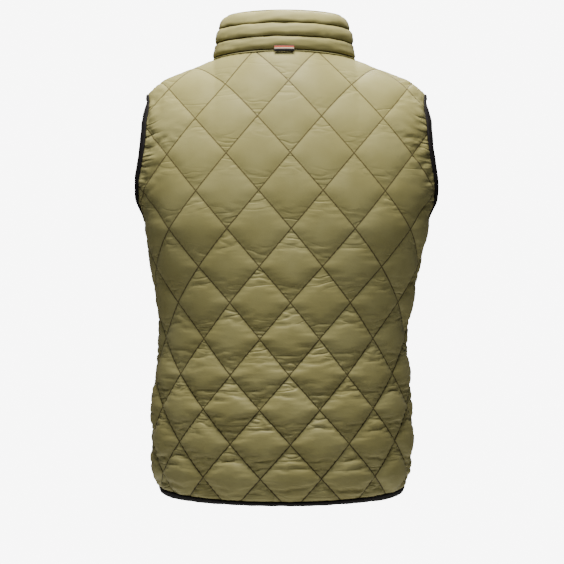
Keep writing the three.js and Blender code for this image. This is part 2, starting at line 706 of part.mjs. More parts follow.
// The slider's front plate with its bail, in its own frame: x across, y up, z out of the garment.
function sliderGeometry() {
  const plate = new THREE.ExtrudeGeometry(roundedPlate(SLIDER.width, SLIDER.length, SLIDER.corner), {
    depth: SLIDER.plate,
    bevelEnabled: false,
    curveSegments: 3,
  });
  const half = SLIDER.bailLength / 2;
  const arch = new THREE.Shape();
  arch.moveTo(-half, -0.5).lineTo(-half, SLIDER.bailHeight - 1).lineTo(-half + 1, SLIDER.bailHeight);
  arch.lineTo(half - 1, SLIDER.bailHeight).lineTo(half, SLIDER.bailHeight - 1).lineTo(half, -0.5);
  arch.lineTo(half - SLIDER.bar, -0.5).lineTo(half - SLIDER.bar, SLIDER.bailHeight - SLIDER.bar);
  arch.lineTo(-half + SLIDER.bar, SLIDER.bailHeight - SLIDER.bar).lineTo(-half + SLIDER.bar, -0.5);
  const bail = new THREE.ExtrudeGeometry(arch, { depth: SLIDER.bail, bevelEnabled: false });
  bail.translate(0, 0, -SLIDER.bail / 2).applyMatrix4(
    new THREE.Matrix4().makeBasis(
      new THREE.Vector3(0, 1, 0),
      new THREE.Vector3(0, 0, 1),
      new THREE.Vector3(1, 0, 0),
    ),
  );
  bail.translate(0, 0, SLIDER.plate);
  return geometryFrom(solidOf(plate).add(solidOf(bail)));
}

// The pull: a plate with a window that its bar crosses, hung from the middle of that bar.
function pullGeometry() {
  const half = PULL.width / 2;
  const shape = new THREE.Shape();
  shape.moveTo(-half + 1, PULL.bar).lineTo(half - 1, PULL.bar).lineTo(half, PULL.bar - 1);
  shape.lineTo(half, -PULL.length + 3).lineTo(half - 2.2, -PULL.length).lineTo(-half + 2.2, -PULL.length);
  shape.lineTo(-half, -PULL.length + 3).lineTo(-half, PULL.bar - 1);
  const window = new THREE.Path();
  window.moveTo(-PULL.window / 2, -PULL.bar).lineTo(-PULL.window / 2, -PULL.windowEnd);
  window.lineTo(PULL.window / 2, -PULL.windowEnd).lineTo(PULL.window / 2, -PULL.bar);
  shape.holes.push(window);
  const made = new THREE.ExtrudeGeometry(shape, { depth: PULL.thick, bevelEnabled: false });
  return made.translate(0, 0, -PULL.thick / 2);
}

// A short folded tape that bridges the collar's seam at the centre back.
function neckTab() {
  const high = TAB.reach / COLLAR_RISE.back;
  const crown = (share) => COLLAR.puff * Math.sqrt(1 - (2 * share * COLLAR.channels - 1) ** 2);
  const stations = range(6).map((t) => {
    const angle = mix(-1, 1, t) * Math.asin(TAB.halfWidth / NECK.halfWidth);
    const { flat } = neckSeam(angle);
    const low = worn("back", Math.sign(angle) * flat[0], flat[1] - TAB.reach);
    low.addScaledVector(outward("back", Math.sign(angle) * flat[0], flat[1] - TAB.reach), TAB_REST);
    const top = collarPoint(angle, high).addScaledVector(collarOutward(angle, high), crown(high) + TAB.lift);
    const up = top.clone().sub(low);
    return { at: low, across: up, out: collarOutward(angle, 0) };
  });
  const section = [
    [0, 0],
    [1, 0],
    [1, TAB.thick],
    [0, TAB.thick],
  ];
  return sweep(stations, section);
}

const vest = new THREE.Group();

function addPiece(name, geometry, finish) {
  const mesh = new THREE.Mesh(geometry, new THREE.MeshStandardMaterial(finish));
  mesh.name = name;
  vest.add(mesh);
  return mesh;
}

const backOutline = pattern("back");
const frontOutline = pattern("front");
const frontStart = { across: 0, up: QUILT_START.up, lean: 0 };
addPiece("back_panel", panel("back", backOutline, QUILT_START), OLIVE);
addPiece("front_left", panel("front", frontOutline, frontStart), OLIVE);
const mirrored = frontOutline.map(([p, q]) => [-p, q]).reverse();
addPiece("front_right", panel("front", mirrored, frontStart), OLIVE);
addPiece("collar", collar(), OLIVE);
addPiece("armhole_binding_left", armholeBinding(1), BLACK);
addPiece("armhole_binding_right", armholeBinding(-1), BLACK);
addPiece("hem_binding", hemBinding(), BLACK);
addPiece("neck_tab", neckTab(), RUST);

addPiece("zip_tape_left", zipStrip(tapeSection(1), ZIP_TOP), BLACK);
addPiece("zip_tape_right", zipStrip(tapeSection(-1), ZIP_TOP), BLACK);
const sliderAt = collarPoint(Math.PI, SLIDER_HEIGHT);
addPiece("zip_chain", zipStrip(chainSection, SLIDER_HEIGHT), DARK_METAL);

// The slider lies along the zip: its frame's x runs across, y up the collar and z out of it.
const slider = new THREE.Group();
const sliderOut = collarOutward(Math.PI, SLIDER_HEIGHT);
const across = new THREE.Vector3(1, 0, 0);
slider.position.copy(sliderAt).addScaledVector(sliderOut, ZIP.chainTop + ZIP.clear);
slider.quaternion.setFromRotationMatrix(
  new THREE.Matrix4().makeBasis(across, sliderOut.clone().cross(across), sliderOut),
);
vest.add(slider);
slider.add(addPiece("zip_slider", sliderGeometry(), DARK_METAL));
const pull = addPiece("zip_pull", pullGeometry(), DARK_METAL);
pull.position.z = SLIDER.plate + (SLIDER.bailHeight - SLIDER.bar) / 2;
slider.add(pull);

export default vest;
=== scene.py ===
"""A diamond-quilted vest as it is worn: its padded cloth, collar, bindings and zip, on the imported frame.

Sizes are in millimetres until a mesh is made. The front faces -Y, the wearer's left is +X and Z is up. A flat
point (p, q) of a panel runs across to the right as seen from outside, and up from the underarm level.
"""

import logging
from dataclasses import dataclass, field
from enum import Enum
from typing import Callable

import bpy
import numpy as np
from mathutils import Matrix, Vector


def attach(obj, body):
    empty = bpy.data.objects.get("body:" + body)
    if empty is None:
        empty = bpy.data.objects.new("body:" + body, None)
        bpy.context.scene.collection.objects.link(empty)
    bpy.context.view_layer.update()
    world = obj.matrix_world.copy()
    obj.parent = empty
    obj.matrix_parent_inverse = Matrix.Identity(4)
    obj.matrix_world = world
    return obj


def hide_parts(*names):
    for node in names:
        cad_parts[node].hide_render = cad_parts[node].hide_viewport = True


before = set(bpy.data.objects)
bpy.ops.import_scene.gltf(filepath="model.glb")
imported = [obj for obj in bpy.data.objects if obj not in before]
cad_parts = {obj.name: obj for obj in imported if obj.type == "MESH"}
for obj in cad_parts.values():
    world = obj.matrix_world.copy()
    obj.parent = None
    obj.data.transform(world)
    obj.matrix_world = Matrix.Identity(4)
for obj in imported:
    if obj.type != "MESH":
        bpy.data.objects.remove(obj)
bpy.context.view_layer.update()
MM = 0.001
Array = np.ndarray
log = logging.getLogger("vest")


class Face(Enum):
    """The two halves of the worn form."""

    BACK = "back"
    FRONT = "front"


# Small tools


def smooth_curve(places: Array, values: Array) -> Callable[[Array], Array]:
    """A cubic through table points that never overshoots them and is flat at both ends.

    Args:
        places: The table's places, rising.
        values: The value at each place.

    Returns:
        A function that gives the value at any places.
    """
    places = np.asarray(places, float)
    values = np.asarray(values, float)
    step = np.diff(places)
    rise = np.diff(values) / step
    slope = np.zeros(len(places))
    turning = rise[:-1] * rise[1:] <= 0
    total = np.where(turning, 1.0, rise[:-1] + rise[1:])
    slope[1:-1] = np.where(turning, 0.0, 2 * rise[:-1] * rise[1:] / total)

    def value(at: Array) -> Array:
        """The curve's value at some places."""
        at = np.asarray(at, float)
        i = np.clip(np.searchsorted(places, at) - 1, 0, len(places) - 2)
        t = np.clip((at - places[i]) / step[i], 0, 1)
        rest = 1 - t
        flat = values[i] * rest**2 * (1 + 2 * t) + values[i + 1] * t**2 * (3 - 2 * t)
        return flat + step[i] * t * rest * (slope[i] * rest - slope[i + 1] * t)

    return value


def straight(places: Array, values: Array, at: Array) -> Array:
    """Straight lines through table points, carried on past both ends."""
    i = np.clip(np.searchsorted(places, at, side="right") - 1, 0, len(places) - 2)
    t = (at - places[i]) / (places[i + 1] - places[i])
    return values[i] + (values[i + 1] - values[i]) * t


def unit(vectors: Array) -> Array:
    """Vectors brought to length one."""
    return vectors / np.maximum(np.linalg.norm(vectors, axis=-1, keepdims=True), 1e-12)


def soft_noise(x: Array, y: Array, seed: int, waves: int = 24) -> Array:
    """Smooth seeded unevenness of about -1 to 1: a sum of sine waves of random directions and phases.

    Args:
        x: First coordinate, in units of the wanted grain size.
        y: Second coordinate, in the same units.
        seed: Fixes the pattern.
        waves: How many waves are summed.

    Returns:
        One value for each point.
    """
    rng = np.random.default_rng(seed)
    turn = rng.uniform(0, 2 * np.pi, waves)
    pitch = rng.uniform(0.6, 1.6, waves)
    phase = rng.uniform(0, 2 * np.pi, waves)
    total = np.zeros(np.broadcast(x, y).shape)
    for k in range(waves):
        total += np.sin(pitch[k] * (np.cos(turn[k]) * x + np.sin(turn[k]) * y) * 2 * np.pi + phase[k])
    return total / np.sqrt(waves)


def new_piece(name: str, points: Array, faces: list[Array], maps: dict[str, Array] | None = None,
              marks: dict[str, Array] | None = None) -> bpy.types.Object:
    """A mesh object from millimetre points and lists of faces.

    Args:
        name: The piece's name.
        points: Corner points, one row each, in millimetres.
        faces: Arrays of corner numbers, each with three or four columns.
        maps: UV maps by name, one row of two numbers for each corner point.
        marks: Point attributes by name, one number for each corner point.

    Returns:
        The object, linked to the scene.
    """
    faces = [f for f in faces if len(f)]
    corners = np.concatenate([f.ravel() for f in faces]).astype(np.int32)
    sizes = np.concatenate([np.full(len(f), f.shape[1]) for f in faces])
    mesh = bpy.data.meshes.new(name)
    mesh.vertices.add(len(points))
    mesh.vertices.foreach_set("co", (points * MM).astype(np.float32).ravel())
    mesh.loops.add(len(corners))
    mesh.loops.foreach_set("vertex_index", corners)
    mesh.polygons.add(len(sizes))
    mesh.polygons.foreach_set("loop_start", (np.cumsum(sizes) - sizes).astype(np.int32))
    mesh.update(calc_edges=True)
    mesh.shade_smooth()
    for key, value in (maps or {}).items():
        layer = mesh.uv_layers.new(name=key)
        layer.uv.foreach_set("vector", value[corners].astype(np.float32).ravel())
    for key, value in (marks or {}).items():
        mesh.attributes.new(key, "FLOAT", "POINT").data.foreach_set("value", value.astype(np.float32))
    made = bpy.data.objects.new(name, mesh)
    bpy.context.scene.collection.objects.link(made)
    return made


def grid_faces(rows: int, columns: int, close_rows: bool = False, close_columns: bool = False) -> Array:
    """Quads of a grid of points numbered row by row, facing row-direction cross column-direction."""
    i = np.arange(rows if close_rows else rows - 1)[:, None]
    j = np.arange(columns if close_columns else columns - 1)[None, :]
    here = i * columns + j
    beside = i * columns + (j + 1) % columns
    after = (i + 1) % rows * columns
    return np.stack([here, after + j, after + (j + 1) % columns, beside], -1).reshape(-1, 4)


def swept_tube(name: str, rows: Array, maps: dict[str, Array] | None = None, closed: bool = False,
               marks: dict[str, Array] | None = None) -> bpy.types.Object:
    """A closed skin over section rings that follow each other, with flat fans over both ends of an open one.

    Args:
        name: The piece's name.
        rows: Rings of points, of shape (stations, around, 3), anticlockwise seen against the way they run.
        maps: UV maps, of shape (stations * around, 2).
        closed: Whether the last ring joins the first.
        marks: Point attributes, of shape (stations * around,).

    Returns:
        The object.
    """
    stations, around, _ = rows.shape
    points = rows.reshape(-1, 3)
    faces = [grid_faces(stations, around, closed, True)]
    if not closed:
        half = around // 2
        k = np.arange(half - 1)
        ends = np.stack([k, k + 1, around - 2 - k, around - 1 - k], -1)
        faces += [ends, ends[:, ::-1] + (stations - 1) * around]
    made = new_piece(name, points, faces, maps, marks)
    centre = points.mean(0)
    signed = tube_volume(points - centre, faces)
    if signed < 0:
        made.data.flip_normals()
    return made


def tube_volume(points: Array, faces: list[Array]) -> float:
    """The signed volume inside faces: the sum of the tetrahedra that their triangles make with the origin."""
    total = 0.0
    for f in faces:
        for a, b in zip(range(1, f.shape[1] - 1), range(2, f.shape[1])):
            total += float(np.einsum("ij,ij->", points[f[:, 0]], np.cross(points[f[:, a]], points[f[:, b]])))
    return total / 6


# The worn form


@dataclass
class WornForm:
    """The worn surface that both quilted panels lie on: rings below the underarm, ellipses above it."""

    chest_z: float = -248.0
    neck_half: float = 103.0
    neck_y: dict[Face, float] = field(default_factory=lambda: {Face.BACK: 66.0, Face.FRONT: -98.0})
    neck_z: dict[Face, float] = field(default_factory=lambda: {Face.BACK: 0.0, Face.FRONT: -84.0})
    neck_side: tuple[float, float] = (-5.0, -7.0)
    ridge: tuple[float, float, float] = (0.4, 178.0, 0.0145)
    # height, half width, back, front, side, squareness, share of the cloth's width
    rings: Array = field(default_factory=lambda: np.array([
        (-660, 174, 121, -113, -20, 2.0, 0.95),
        (-642, 182, 129, -118, -20, 2.0, 0.95),
        (-605, 192, 135, -122, -20, 2.0, 0.95),
        (-550, 193, 134, -122, -20, 2.0, 0.94),
        (-485, 189, 129, -119, -20, 2.0, 0.93),
        (-420, 184, 124, -119, -19, 2.05, 0.93),
        (-350, 193, 122, -125, -16, 2.2, 0.96),
        (-295, 203, 122, -129, -13, 2.4, 0.99),
        (-248, 210, 122, -130, -12, 2.6, 1.0),
    ]))
    flares: Array = field(default_factory=lambda: np.array(
        [(-248, 0), (-215, 15), (-180, 24), (-110, 25), (-80, 14), (-52, 0), (70, 0)], float))
    stance: Array = field(default_factory=lambda: np.array(
        [(-660, 2.5), (-480, 2), (-380, -1), (-210, -4.5), (-60, -4.5), (0, -1)], float))
    heights: Array = field(default_factory=lambda: np.array(
        [(-460, -676), (-235, -474.6), (-66, -314), (0, -248)], float))
    flare_power: int = 12  # keeps the flare of the armhole's edge away from the middle of the back
    level_range: tuple[float, float] = (-454.0, 520.0)
    step: float = 2.0

    def __post_init__(self) -> None:
        """Work out the tables that placing reads."""
        columns = {"half": 1, Face.BACK: 2, Face.FRONT: 3, "side": 4, "square": 5, "ease": 6}
        self.ring = {key: smooth_curve(self.rings[:, 0], self.rings[:, c]) for key, c in columns.items()}
        self.flare = smooth_curve(self.flares[:, 0], self.flares[:, 1])
        self.lean = smooth_curve(self.stance[:, 0], self.stance[:, 1])
        self.levels = np.arange(*self.level_range, self.step)
        self.chest = {face: self.quarter(face, np.array([self.chest_z])) for face in Face}
        self.tables = {face: self.table(face) for face in Face}

    def quarter(self, face: Face, z: Array, count: int = 385) -> tuple[Array, Array, Array]:
        """Quarter rings from the middle to the side: x is the half width times a power of the sine, and y
        runs from the face to the side as the same power of the cosine.

        Args:
            face: The back or the front.
            z: Heights, one for each ring.
            count: Points on a quarter.

        Returns:
            Cloth length, x and y along each ring.
        """
        turn = np.linspace(0, np.pi / 2, count)[None, :]
        power = 2 / self.ring["square"](z)[:, None]
        side = self.ring["side"](z)[:, None]
        x = self.ring["half"](z)[:, None] * np.sin(turn) ** power
        y = side + (self.ring[face](z)[:, None] - side) * np.maximum(np.cos(turn), 0) ** power
        run = np.hypot(np.diff(x), np.diff(y)).cumsum(1)
        return np.pad(run, ((0, 0), (1, 0))), x, y

    def top_z(self, face: Face, column: Array, reach: Array) -> Array:
        """The height that a column of cloth reaches at the shoulders' top line."""
        slope, tip_start, tip_drop = self.ridge
        side_y, side_z = self.neck_side
        tip = np.maximum(0, column - tip_start)
        outside = side_z - slope * (column - self.neck_half) - tip_drop * tip**2
        rest = np.maximum(0, 1 - (column / self.neck_half) ** 2)
        y = side_y + (self.neck_y[face] - side_y) * np.sqrt(rest)
        z = side_z + (self.neck_z[face] - side_z) * rest
        share = np.minimum((y - side_y) / reach, 0.999)
        under = self.chest_z + (z - self.chest_z) / np.sqrt(1 - share**2)
        return np.where(column >= self.neck_half, outside, under)

    def column_paths(self, face: Face, across: Array) -> tuple[Array, Array, Array, Array]:
        """Columns of cloth over the shoulder: quarters of an ellipse, each in its own plane across the body.

        Args:
            face: The back or the front.
            across: Flat distances from the middle, one for each column.

        Returns:
            The columns' x, and cloth length, y and z along each.
        """
        length, x, y = (part[0] for part in self.chest[face])
        column = straight(length, x, across)
        reach = straight(length, y, across) - self.neck_side[0]
        rise = self.top_z(face, column, reach) - self.chest_z
        turn = np.linspace(0, np.pi / 2, 129)[None, :]
        ys = self.neck_side[0] + reach[:, None] * np.cos(turn)
        zs = self.chest_z + rise[:, None] * np.sin(turn)
        run = np.hypot(np.diff(ys), np.diff(zs)).cumsum(1)
        return column, np.pad(run, ((0, 0), (1, 0))), ys, zs

    def table(self, face: Face) -> Array:
        across = np.arange(0.0, self.chest[face][0][0, -1] + 60, self.step)
        low = self.levels < 0
        z = straight(self.heights[:, 0], self.heights[:, 1], self.levels[low])
        length, x, y = self.quarter(face, z)
        ease = self.ring["ease"](z)
        made = np.zeros((len(self.levels), len(across), 3))
        for row in range(len(z)):
            made[row, :, 0] = straight(length[row], x[row], across * ease[row])
            made[row, :, 1] = straight(length[row], y[row], across * ease[row])
            made[row, :, 2] = z[row]
        column, run, ys, zs = self.column_paths(face, across)
        high = np.flatnonzero(~low)
        for k in range(len(across)):
            z = straight(run[k], zs[k], self.levels[high])
            share = column[k] / self.rings[-1, 1]
            made[high, k, 0] = column[k] + self.flare(z) * share ** self.flare_power
            made[high, k, 1] = straight(run[k], ys[k], self.levels[high])
            made[high, k, 2] = z
        return made

    def place(self, face: Face, p: Array, q: Array) -> Array:
        """Where flat points lie when worn: the table's four nearest places, mixed by share.

        Args:
            face: The back or the front.
            p: Distances across from the middle.
            q: Distances up from the underarm level.

        Returns:
            Worn places, of shape p.shape + (3,).
        """
        p, q = np.broadcast_arrays(np.asarray(p, float), np.asarray(q, float))
        table = self.tables[face]
        u = np.clip(np.abs(p) / self.step, 0, table.shape[1] - 1.001)
        v = np.clip((q - self.levels[0]) / self.step, 0, len(self.levels) - 1.001)
        i, j = u.astype(int), v.astype(int)
        a, b = (u - i)[..., None], (v - j)[..., None]
        low = table[j, i] * (1 - a) + table[j, i + 1] * a
        high = table[j + 1, i] * (1 - a) + table[j + 1, i + 1] * a
        made = low * (1 - b) + high * b
        to_right = -1.0 if face is Face.BACK else 1.0
        made[..., 0] = made[..., 0] * np.where(p < 0, -to_right, to_right) + self.lean(made[..., 2])
        return made

    def outward(self, face: Face, p: Array, q: Array, step: float = 3.0) -> Array:
        """The worn cloth's outward direction: its across direction crossed with its up direction."""
        across = self.place(face, p + step, q) - self.place(face, p - step, q)
        up = self.place(face, p, q + step) - self.place(face, p, q - step)
        return unit(np.cross(across, up))

    def flat_across(self, face: Face, column: Array) -> Array:
        """Flat distance from the middle of columns at a given x."""
        length, x, _ = (part[0] for part in self.chest[face])
        return straight(x, length, column)

    def lower_q(self, z: Array) -> Array:
        """The flat level of a height below the underarm."""
        return straight(self.heights[:, 1], self.heights[:, 0], np.asarray(z, float))


# The pattern pieces


@dataclass
class Pattern:
    """The outlines of the panels in flat measure, the same as the solids were cut to."""

    form: WornForm
    armhole_top: float = -60.0
    armhole_reach: dict[Face, float] = field(default_factory=lambda: {Face.BACK: 52.0, Face.FRONT: -56.0})
    hem_side: float = -642.0
    hem_middle: dict[Face, float] = field(default_factory=lambda: {Face.BACK: -651.0, Face.FRONT: -640.0})
    zip_gap: float = 6.5
    overlap: float = 0.3

    def side_seam(self, face: Face, count: int = 60) -> Array:
        """The side seam from the hem up to the underarm."""
        q = np.linspace(float(self.form.lower_q(self.hem_side)), 0, count)
        z = straight(self.form.heights[:, 0], self.form.heights[:, 1], q)
        length = self.form.quarter(face, z)[0][:, -1]
        return np.stack([length / self.form.ring["ease"](z), q], -1)

    def armhole(self, face: Face, count: int = 90) -> Array:
        """The armhole from the underarm to the shoulder: its height follows a cosine and its depth a sine."""
        form = self.form
        t = np.linspace(0, 1, count)[1:]
        middle = (self.armhole_top + form.chest_z) / 2
        half = (self.armhole_top - form.chest_z) / 2
        z = middle - half * np.cos(t * np.pi)
        side = form.ring["side"](form.chest_z)
        y = side + (form.neck_side[0] - side) * t + self.armhole_reach[face] * np.sin(t * np.pi)
        across = np.linspace(0, form.chest[face][0][0, -1], 700)
        _, _, ys, zs = form.column_paths(face, across)
        sign = 1.0 if face is Face.BACK else -1.0
        made = np.zeros((len(t), 2))
        for k in range(len(t)):
            depth = np.array([straight(zs[c], ys[c], z[k]) if zs[c, -1] > z[k] else -1e3 * sign
                              for c in range(len(across))])
            beyond = np.flatnonzero(sign * (depth - y[k]) < 0)[0]
            here, before = sign * (depth[beyond] - y[k]), sign * (depth[beyond - 1] - y[k])
            share = before / (before - here) if here > -900 else 0.5
            made[k, 0] = across[beyond - 1] + share * (across[beyond] - across[beyond - 1])
        _, run, _, zs = form.column_paths(face, made[:, 0])
        made[:, 1] = [straight(zs[k], run[k], z[k]) for k in range(len(t))]
        return made

    def shoulder(self, face: Face, tip: float, count: int = 60) -> Array:
        """The shoulder seam from the armhole to the neck, along the shoulders' top line."""
        t = np.linspace(0, 1, count)[1:-1] ** 1.35
        columns = self.form.column_paths(face, np.array([tip]))[0]
        across = self.form.flat_across(face, columns[0] + (self.form.neck_half - columns[0]) * t)
        return np.stack([across, self.form.column_paths(face, across)[1][:, -1]], -1)

    def neck(self, face: Face, count: int = 60) -> Array:
        """The neck seam from the side to the middle."""
        column = self.form.neck_half * np.cos(np.linspace(0, np.pi / 2, count))
        return self.neck_flat(face, column)

    def neck_flat(self, face: Face, column: Array) -> Array:
        """The neck seam's flat points at distances from the centre."""
        form = self.form
        across = form.flat_across(face, column)
        rest = np.maximum(0, 1 - (column / form.neck_half) ** 2)
        z = form.neck_side[1] + (form.neck_z[face] - form.neck_side[1]) * rest
        _, run, _, zs = form.column_paths(face, across)
        return np.stack([across, [straight(zs[k], run[k], z[k]) for k in range(len(across))]], -1)

    def hem(self, face: Face, start: float, end: float, count: int = 160) -> Array:
        """The hem between two flat distances: lowest in the middle, rising as the square of the distance."""
        half = self.side_seam(face)[0, 0]
        p = np.linspace(start, end, count)
        share = np.minimum(1, np.abs(p) / half) ** 2
        middle = self.hem_middle[face]
        return np.stack([p, self.form.lower_q(middle + (self.hem_side - middle) * share)], -1)

    def outline(self, face: Face) -> Array:
        """A panel's whole edge, anticlockwise as seen from outside: the back, or the front on positive p.

        It laps a little over its neighbour at the side and the shoulder.
        """
        side, armhole = self.side_seam(face) + (self.overlap, 0), self.armhole(face)
        shoulder = self.shoulder(face, armhole[-1, 0]) + (0, self.overlap)
        rise = np.concatenate([side, armhole, shoulder, self.neck(face)])
        corner = side[0, 0]
        if face is Face.BACK:
            mirrored = rise[1:-1] * (-1, 1)
            return np.concatenate([self.hem(face, -corner, corner)[:-1], rise, mirrored[::-1]])
        above = rise[rise[:, 0] > self.zip_gap + 1]
        top = [(self.zip_gap, rise[-1, 1])]
        return np.concatenate([self.hem(face, self.zip_gap, corner)[:-1], above, top])


# Finishes


@dataclass(frozen=True)
class QuiltedNylon:
    """Olive nylon with a faint sheen over padding: weave, slack cloth's crinkles, dark stitching with painted
    shade.
    """

    colour: tuple[float, float, float] = (0.315, 0.29, 0.115)
    pale: tuple[float, float, float] = (0.36, 0.336, 0.145)
    # Seam colours: painted shade in the sunk stitch lines and at the edges, deeper where the cloth is slack
    seam: tuple[float, float, float] = (0.085, 0.07, 0.027)
    deep_seam_shade: tuple[float, float, float] = (0.045, 0.037, 0.012)
    thread: tuple[float, float, float] = (0.2, 0.17, 0.07)
    roughness: float = 0.5
    line_spacing: float = 70.3  # between parallel stitch lines, in millimetres, from the diamonds' half sizes
    stitches: float = 24.0  # between two crossings
    thread_half: float = 0.42
    thread_share: float = 0.33
    smile: float = 0.007
    crease_scale: float = 24.0
    crease_flatness: float = 3.4

    def material(self) -> bpy.types.Material:
        """The material with its nodes."""
        made = Shader("quilted nylon")
        flat = made.uv("flat")
        lattice = made.uv("lattice")
        # Distance from the nearest stitch line in both lattice directions, in millimetres
        split = made.node("ShaderNodeSeparateXYZ", Vector=lattice)
        off = [made.from_middle(made.math("FRACT", split.outputs[k])) for k in (0, 1)]
        line = made.math("MULTIPLY", made.math("MINIMUM", off[0], off[1]), self.line_spacing)
        edge = made.attribute("edge")
        # Painted shade: 0 on a stitch line or the panel's edge, rising to 1 at 1.5 mm
        seam = made.smooth(made.math("MINIMUM", line, edge), 0.3, 1.5)
        # Stitches: short threads along each line
        steps = [made.math("MULTIPLY", split.outputs[1 - k], self.stitches) for k in (0, 1)]
        along = [made.from_middle(made.math("FRACT", step)) for step in steps]
        threads = [made.math("MULTIPLY",
                             made.less(made.math("MULTIPLY", off[k], self.line_spacing), self.thread_half),
                             made.less(along[k], self.thread_share)) for k in (0, 1)]
        thread = made.math("MAXIMUM", threads[0], threads[1])
        # Colour: broad unevenness, dark sunk seams and edges with painted shade, deeper where slack, then the
        # thread
        slack = made.attribute("slack")
        broad = made.noise(flat, 14.0, 3.0, 0.55)
        tone = made.mix(made.smooth(broad, 0.35, 0.68), self.colour, self.pale)
        fine = made.noise(flat, 900.0, 2.0, 0.6)
        tone = made.mix(made.math("MULTIPLY", fine, 0.16), tone, self.seam)
        tone = made.mix(seam, made.mix(slack, self.seam, self.deep_seam_shade), tone)
        tone = made.mix(made.math("MULTIPLY", thread, 0.5), tone, self.thread)
        uneven = made.math("MULTIPLY", made.noise(flat, 60.0, 3.0, 0.5), 0.16)
        rough = made.math("ADD", uneven, self.roughness - 0.08)
        # Relief: creases near each diamond's ends, puckers, crinkles mostly across, weave and stitches
        bump = made.bump(self.creases(made, flat, split, slack), 0.8, 0.0016)
        bump = made.bump(self.gathers(made, edge), 0.9, 0.0022, bump)
        stretched = made.node("ShaderNodeMapping", Vector=flat)
        stretched.inputs["Scale"].default_value = (1.0, 2.2, 1.0)
        crinkle = made.noise(stretched.outputs[0], 70.0, 3.0, 0.5)
        crinkle = made.math("MULTIPLY", made.math("SUBTRACT", crinkle, 0.5), slack)
        bump = made.bump(crinkle, 0.3, 0.0014, bump)
        weave = made.math("MULTIPLY", made.wave(flat, 1900.0, "X"), made.wave(flat, 1900.0, "Y"))
        bump = made.bump(weave, 0.12, 0.00012, bump)
        bump = made.bump(thread, 0.5, 0.0004, bump)
        made.finish(tone, rough, bump, sheen=0.04, sheen_rough=0.4, specular=0.15)
        return made.material

    def gathers(self, made: "Shader", edge: object) -> bpy.types.NodeSocket:
        """Thin valleys that run in from a gathered edge, where a noise along the edge passes its middle.

        Args:
            made: The material's tree.
            edge: Distance from the edge in millimetres.

        Returns:
            The valleys' height, 0 outside them and down to -1.
        """
        place = made.node("ShaderNodeCombineXYZ", X=made.attribute("run"),
                          Y=made.math("MULTIPLY", edge, 0.00014))
        off_middle = made.from_middle(made.noise(place.outputs[0], 70.0, 1.0, 0.5))
        valley = made.math("SUBTRACT", made.smooth(off_middle, 0.0, 0.11), 1.0)
        return made.math("MULTIPLY", valley, made.smooth(made.attribute("gather"), 0.12, 0.75))

    def creases(self, made: "Shader", flat: object, split: bpy.types.Node,
                slack: object) -> bpy.types.NodeSocket:
        """Thin valleys near each diamond's upper and lower ends, where a noise passes its middle.

        The noise is stretched across and read at a height lowered by the square of the place across, so the
        valleys curve like smiles.

        Args:
            made: The material's tree.
            flat: Flat coordinates in metres.
            split: The lattice coordinates, taken apart.
            slack: How loose the cloth is.

        Returns:
            The valleys' height, 0 outside them and down to -1.
        """
        share = [made.math("SUBTRACT", made.math("FRACT", made.math("ADD", split.outputs[k], 0.5)), 0.5)
                 for k in (0, 1)]
        across = made.math("ADD", share[0], share[1])
        near_end = made.smooth(made.math("ABSOLUTE", made.math("SUBTRACT", share[0], share[1])), 0.25, 0.8)
        sunk = made.math("MULTIPLY", made.math("MULTIPLY", across, across), self.smile)
        where = made.node("ShaderNodeSeparateXYZ", Vector=flat)
        bent = made.node("ShaderNodeCombineXYZ", X=where.outputs[0],
                         Y=made.math("MULTIPLY", made.math("SUBTRACT", where.outputs[1], sunk),
                                     self.crease_flatness))
        off_middle = made.from_middle(made.noise(bent.outputs[0], self.crease_scale, 0.6, 0.5))
        valley = made.math("SUBTRACT", made.smooth(off_middle, 0.0, 0.1), 1.0)
        amount = made.math("ADD", made.math("MULTIPLY", slack, 0.75), 0.25)
        return made.math("MULTIPLY", valley, made.math("MULTIPLY", near_end, amount))


@dataclass(frozen=True)
class LiningCloth:
    """Plain dark olive lining."""

    colour: tuple[float, float, float] = (0.075, 0.066, 0.036)
    roughness: float = 0.5

    def material(self) -> bpy.types.Material:
        """The material with its nodes."""
        made = Shader("lining cloth")
        flat = made.uv("flat")
        tone = made.mix(made.noise(flat, 20.0, 3.0, 0.5), self.colour, tuple(1.5 * c for c in self.colour))
        uneven = made.math("MULTIPLY", made.noise(flat, 80.0, 2.0, 0.5), 0.15)
        rough = made.math("ADD", uneven, self.roughness)
        weave = made.math("MULTIPLY", made.wave(flat, 1500.0, "X"), made.wave(flat, 1500.0, "Y"))
        bump = made.bump(made.noise(flat, 45.0, 3.0, 0.5), 0.4, 0.0015)
        made.finish(tone, rough, made.bump(weave, 0.15, 0.00012, bump), sheen=0.2, sheen_rough=0.5,
                    specular=0.4)
        return made.material


@dataclass(frozen=True)
class RibbedTape:
    """A woven tape with ribs across it, slightly lighter in soft patches and along the ribs."""

    name: str = "black binding tape"
    colour: tuple[float, float, float] = (0.0075, 0.0065, 0.0075)
    # A slightly lighter tone, in soft patches and along the ribs
    worn: tuple[float, float, float] = (0.022, 0.019, 0.02)
    ribs: float = 900.0
    roughness: float = 0.72

    def material(self) -> bpy.types.Material:
        """The material with its nodes."""
        made = Shader(self.name)
        flat = made.uv("flat")
        uneven = made.noise(flat, 120.0, 4.0, 0.6)
        tone = made.mix(made.smooth(uneven, 0.45, 0.85), self.colour, self.worn)
        ribs = made.wave(flat, self.ribs, "X")
        tone = made.mix(made.math("MULTIPLY", ribs, 0.3), tone, self.worn)
        rough = made.math("ADD", made.math("MULTIPLY", uneven, 0.2), self.roughness - 0.1)
        bump = made.bump(uneven, 0.3, 0.0006)
        bump = made.bump(ribs, 0.45, 0.00025, bump)
        made.finish(tone, rough, made.bump(made.wave(flat, 2200.0, "Y"), 0.2, 0.0001, bump), sheen=0.02,
                    sheen_rough=0.5, specular=0.14)
        return made.material


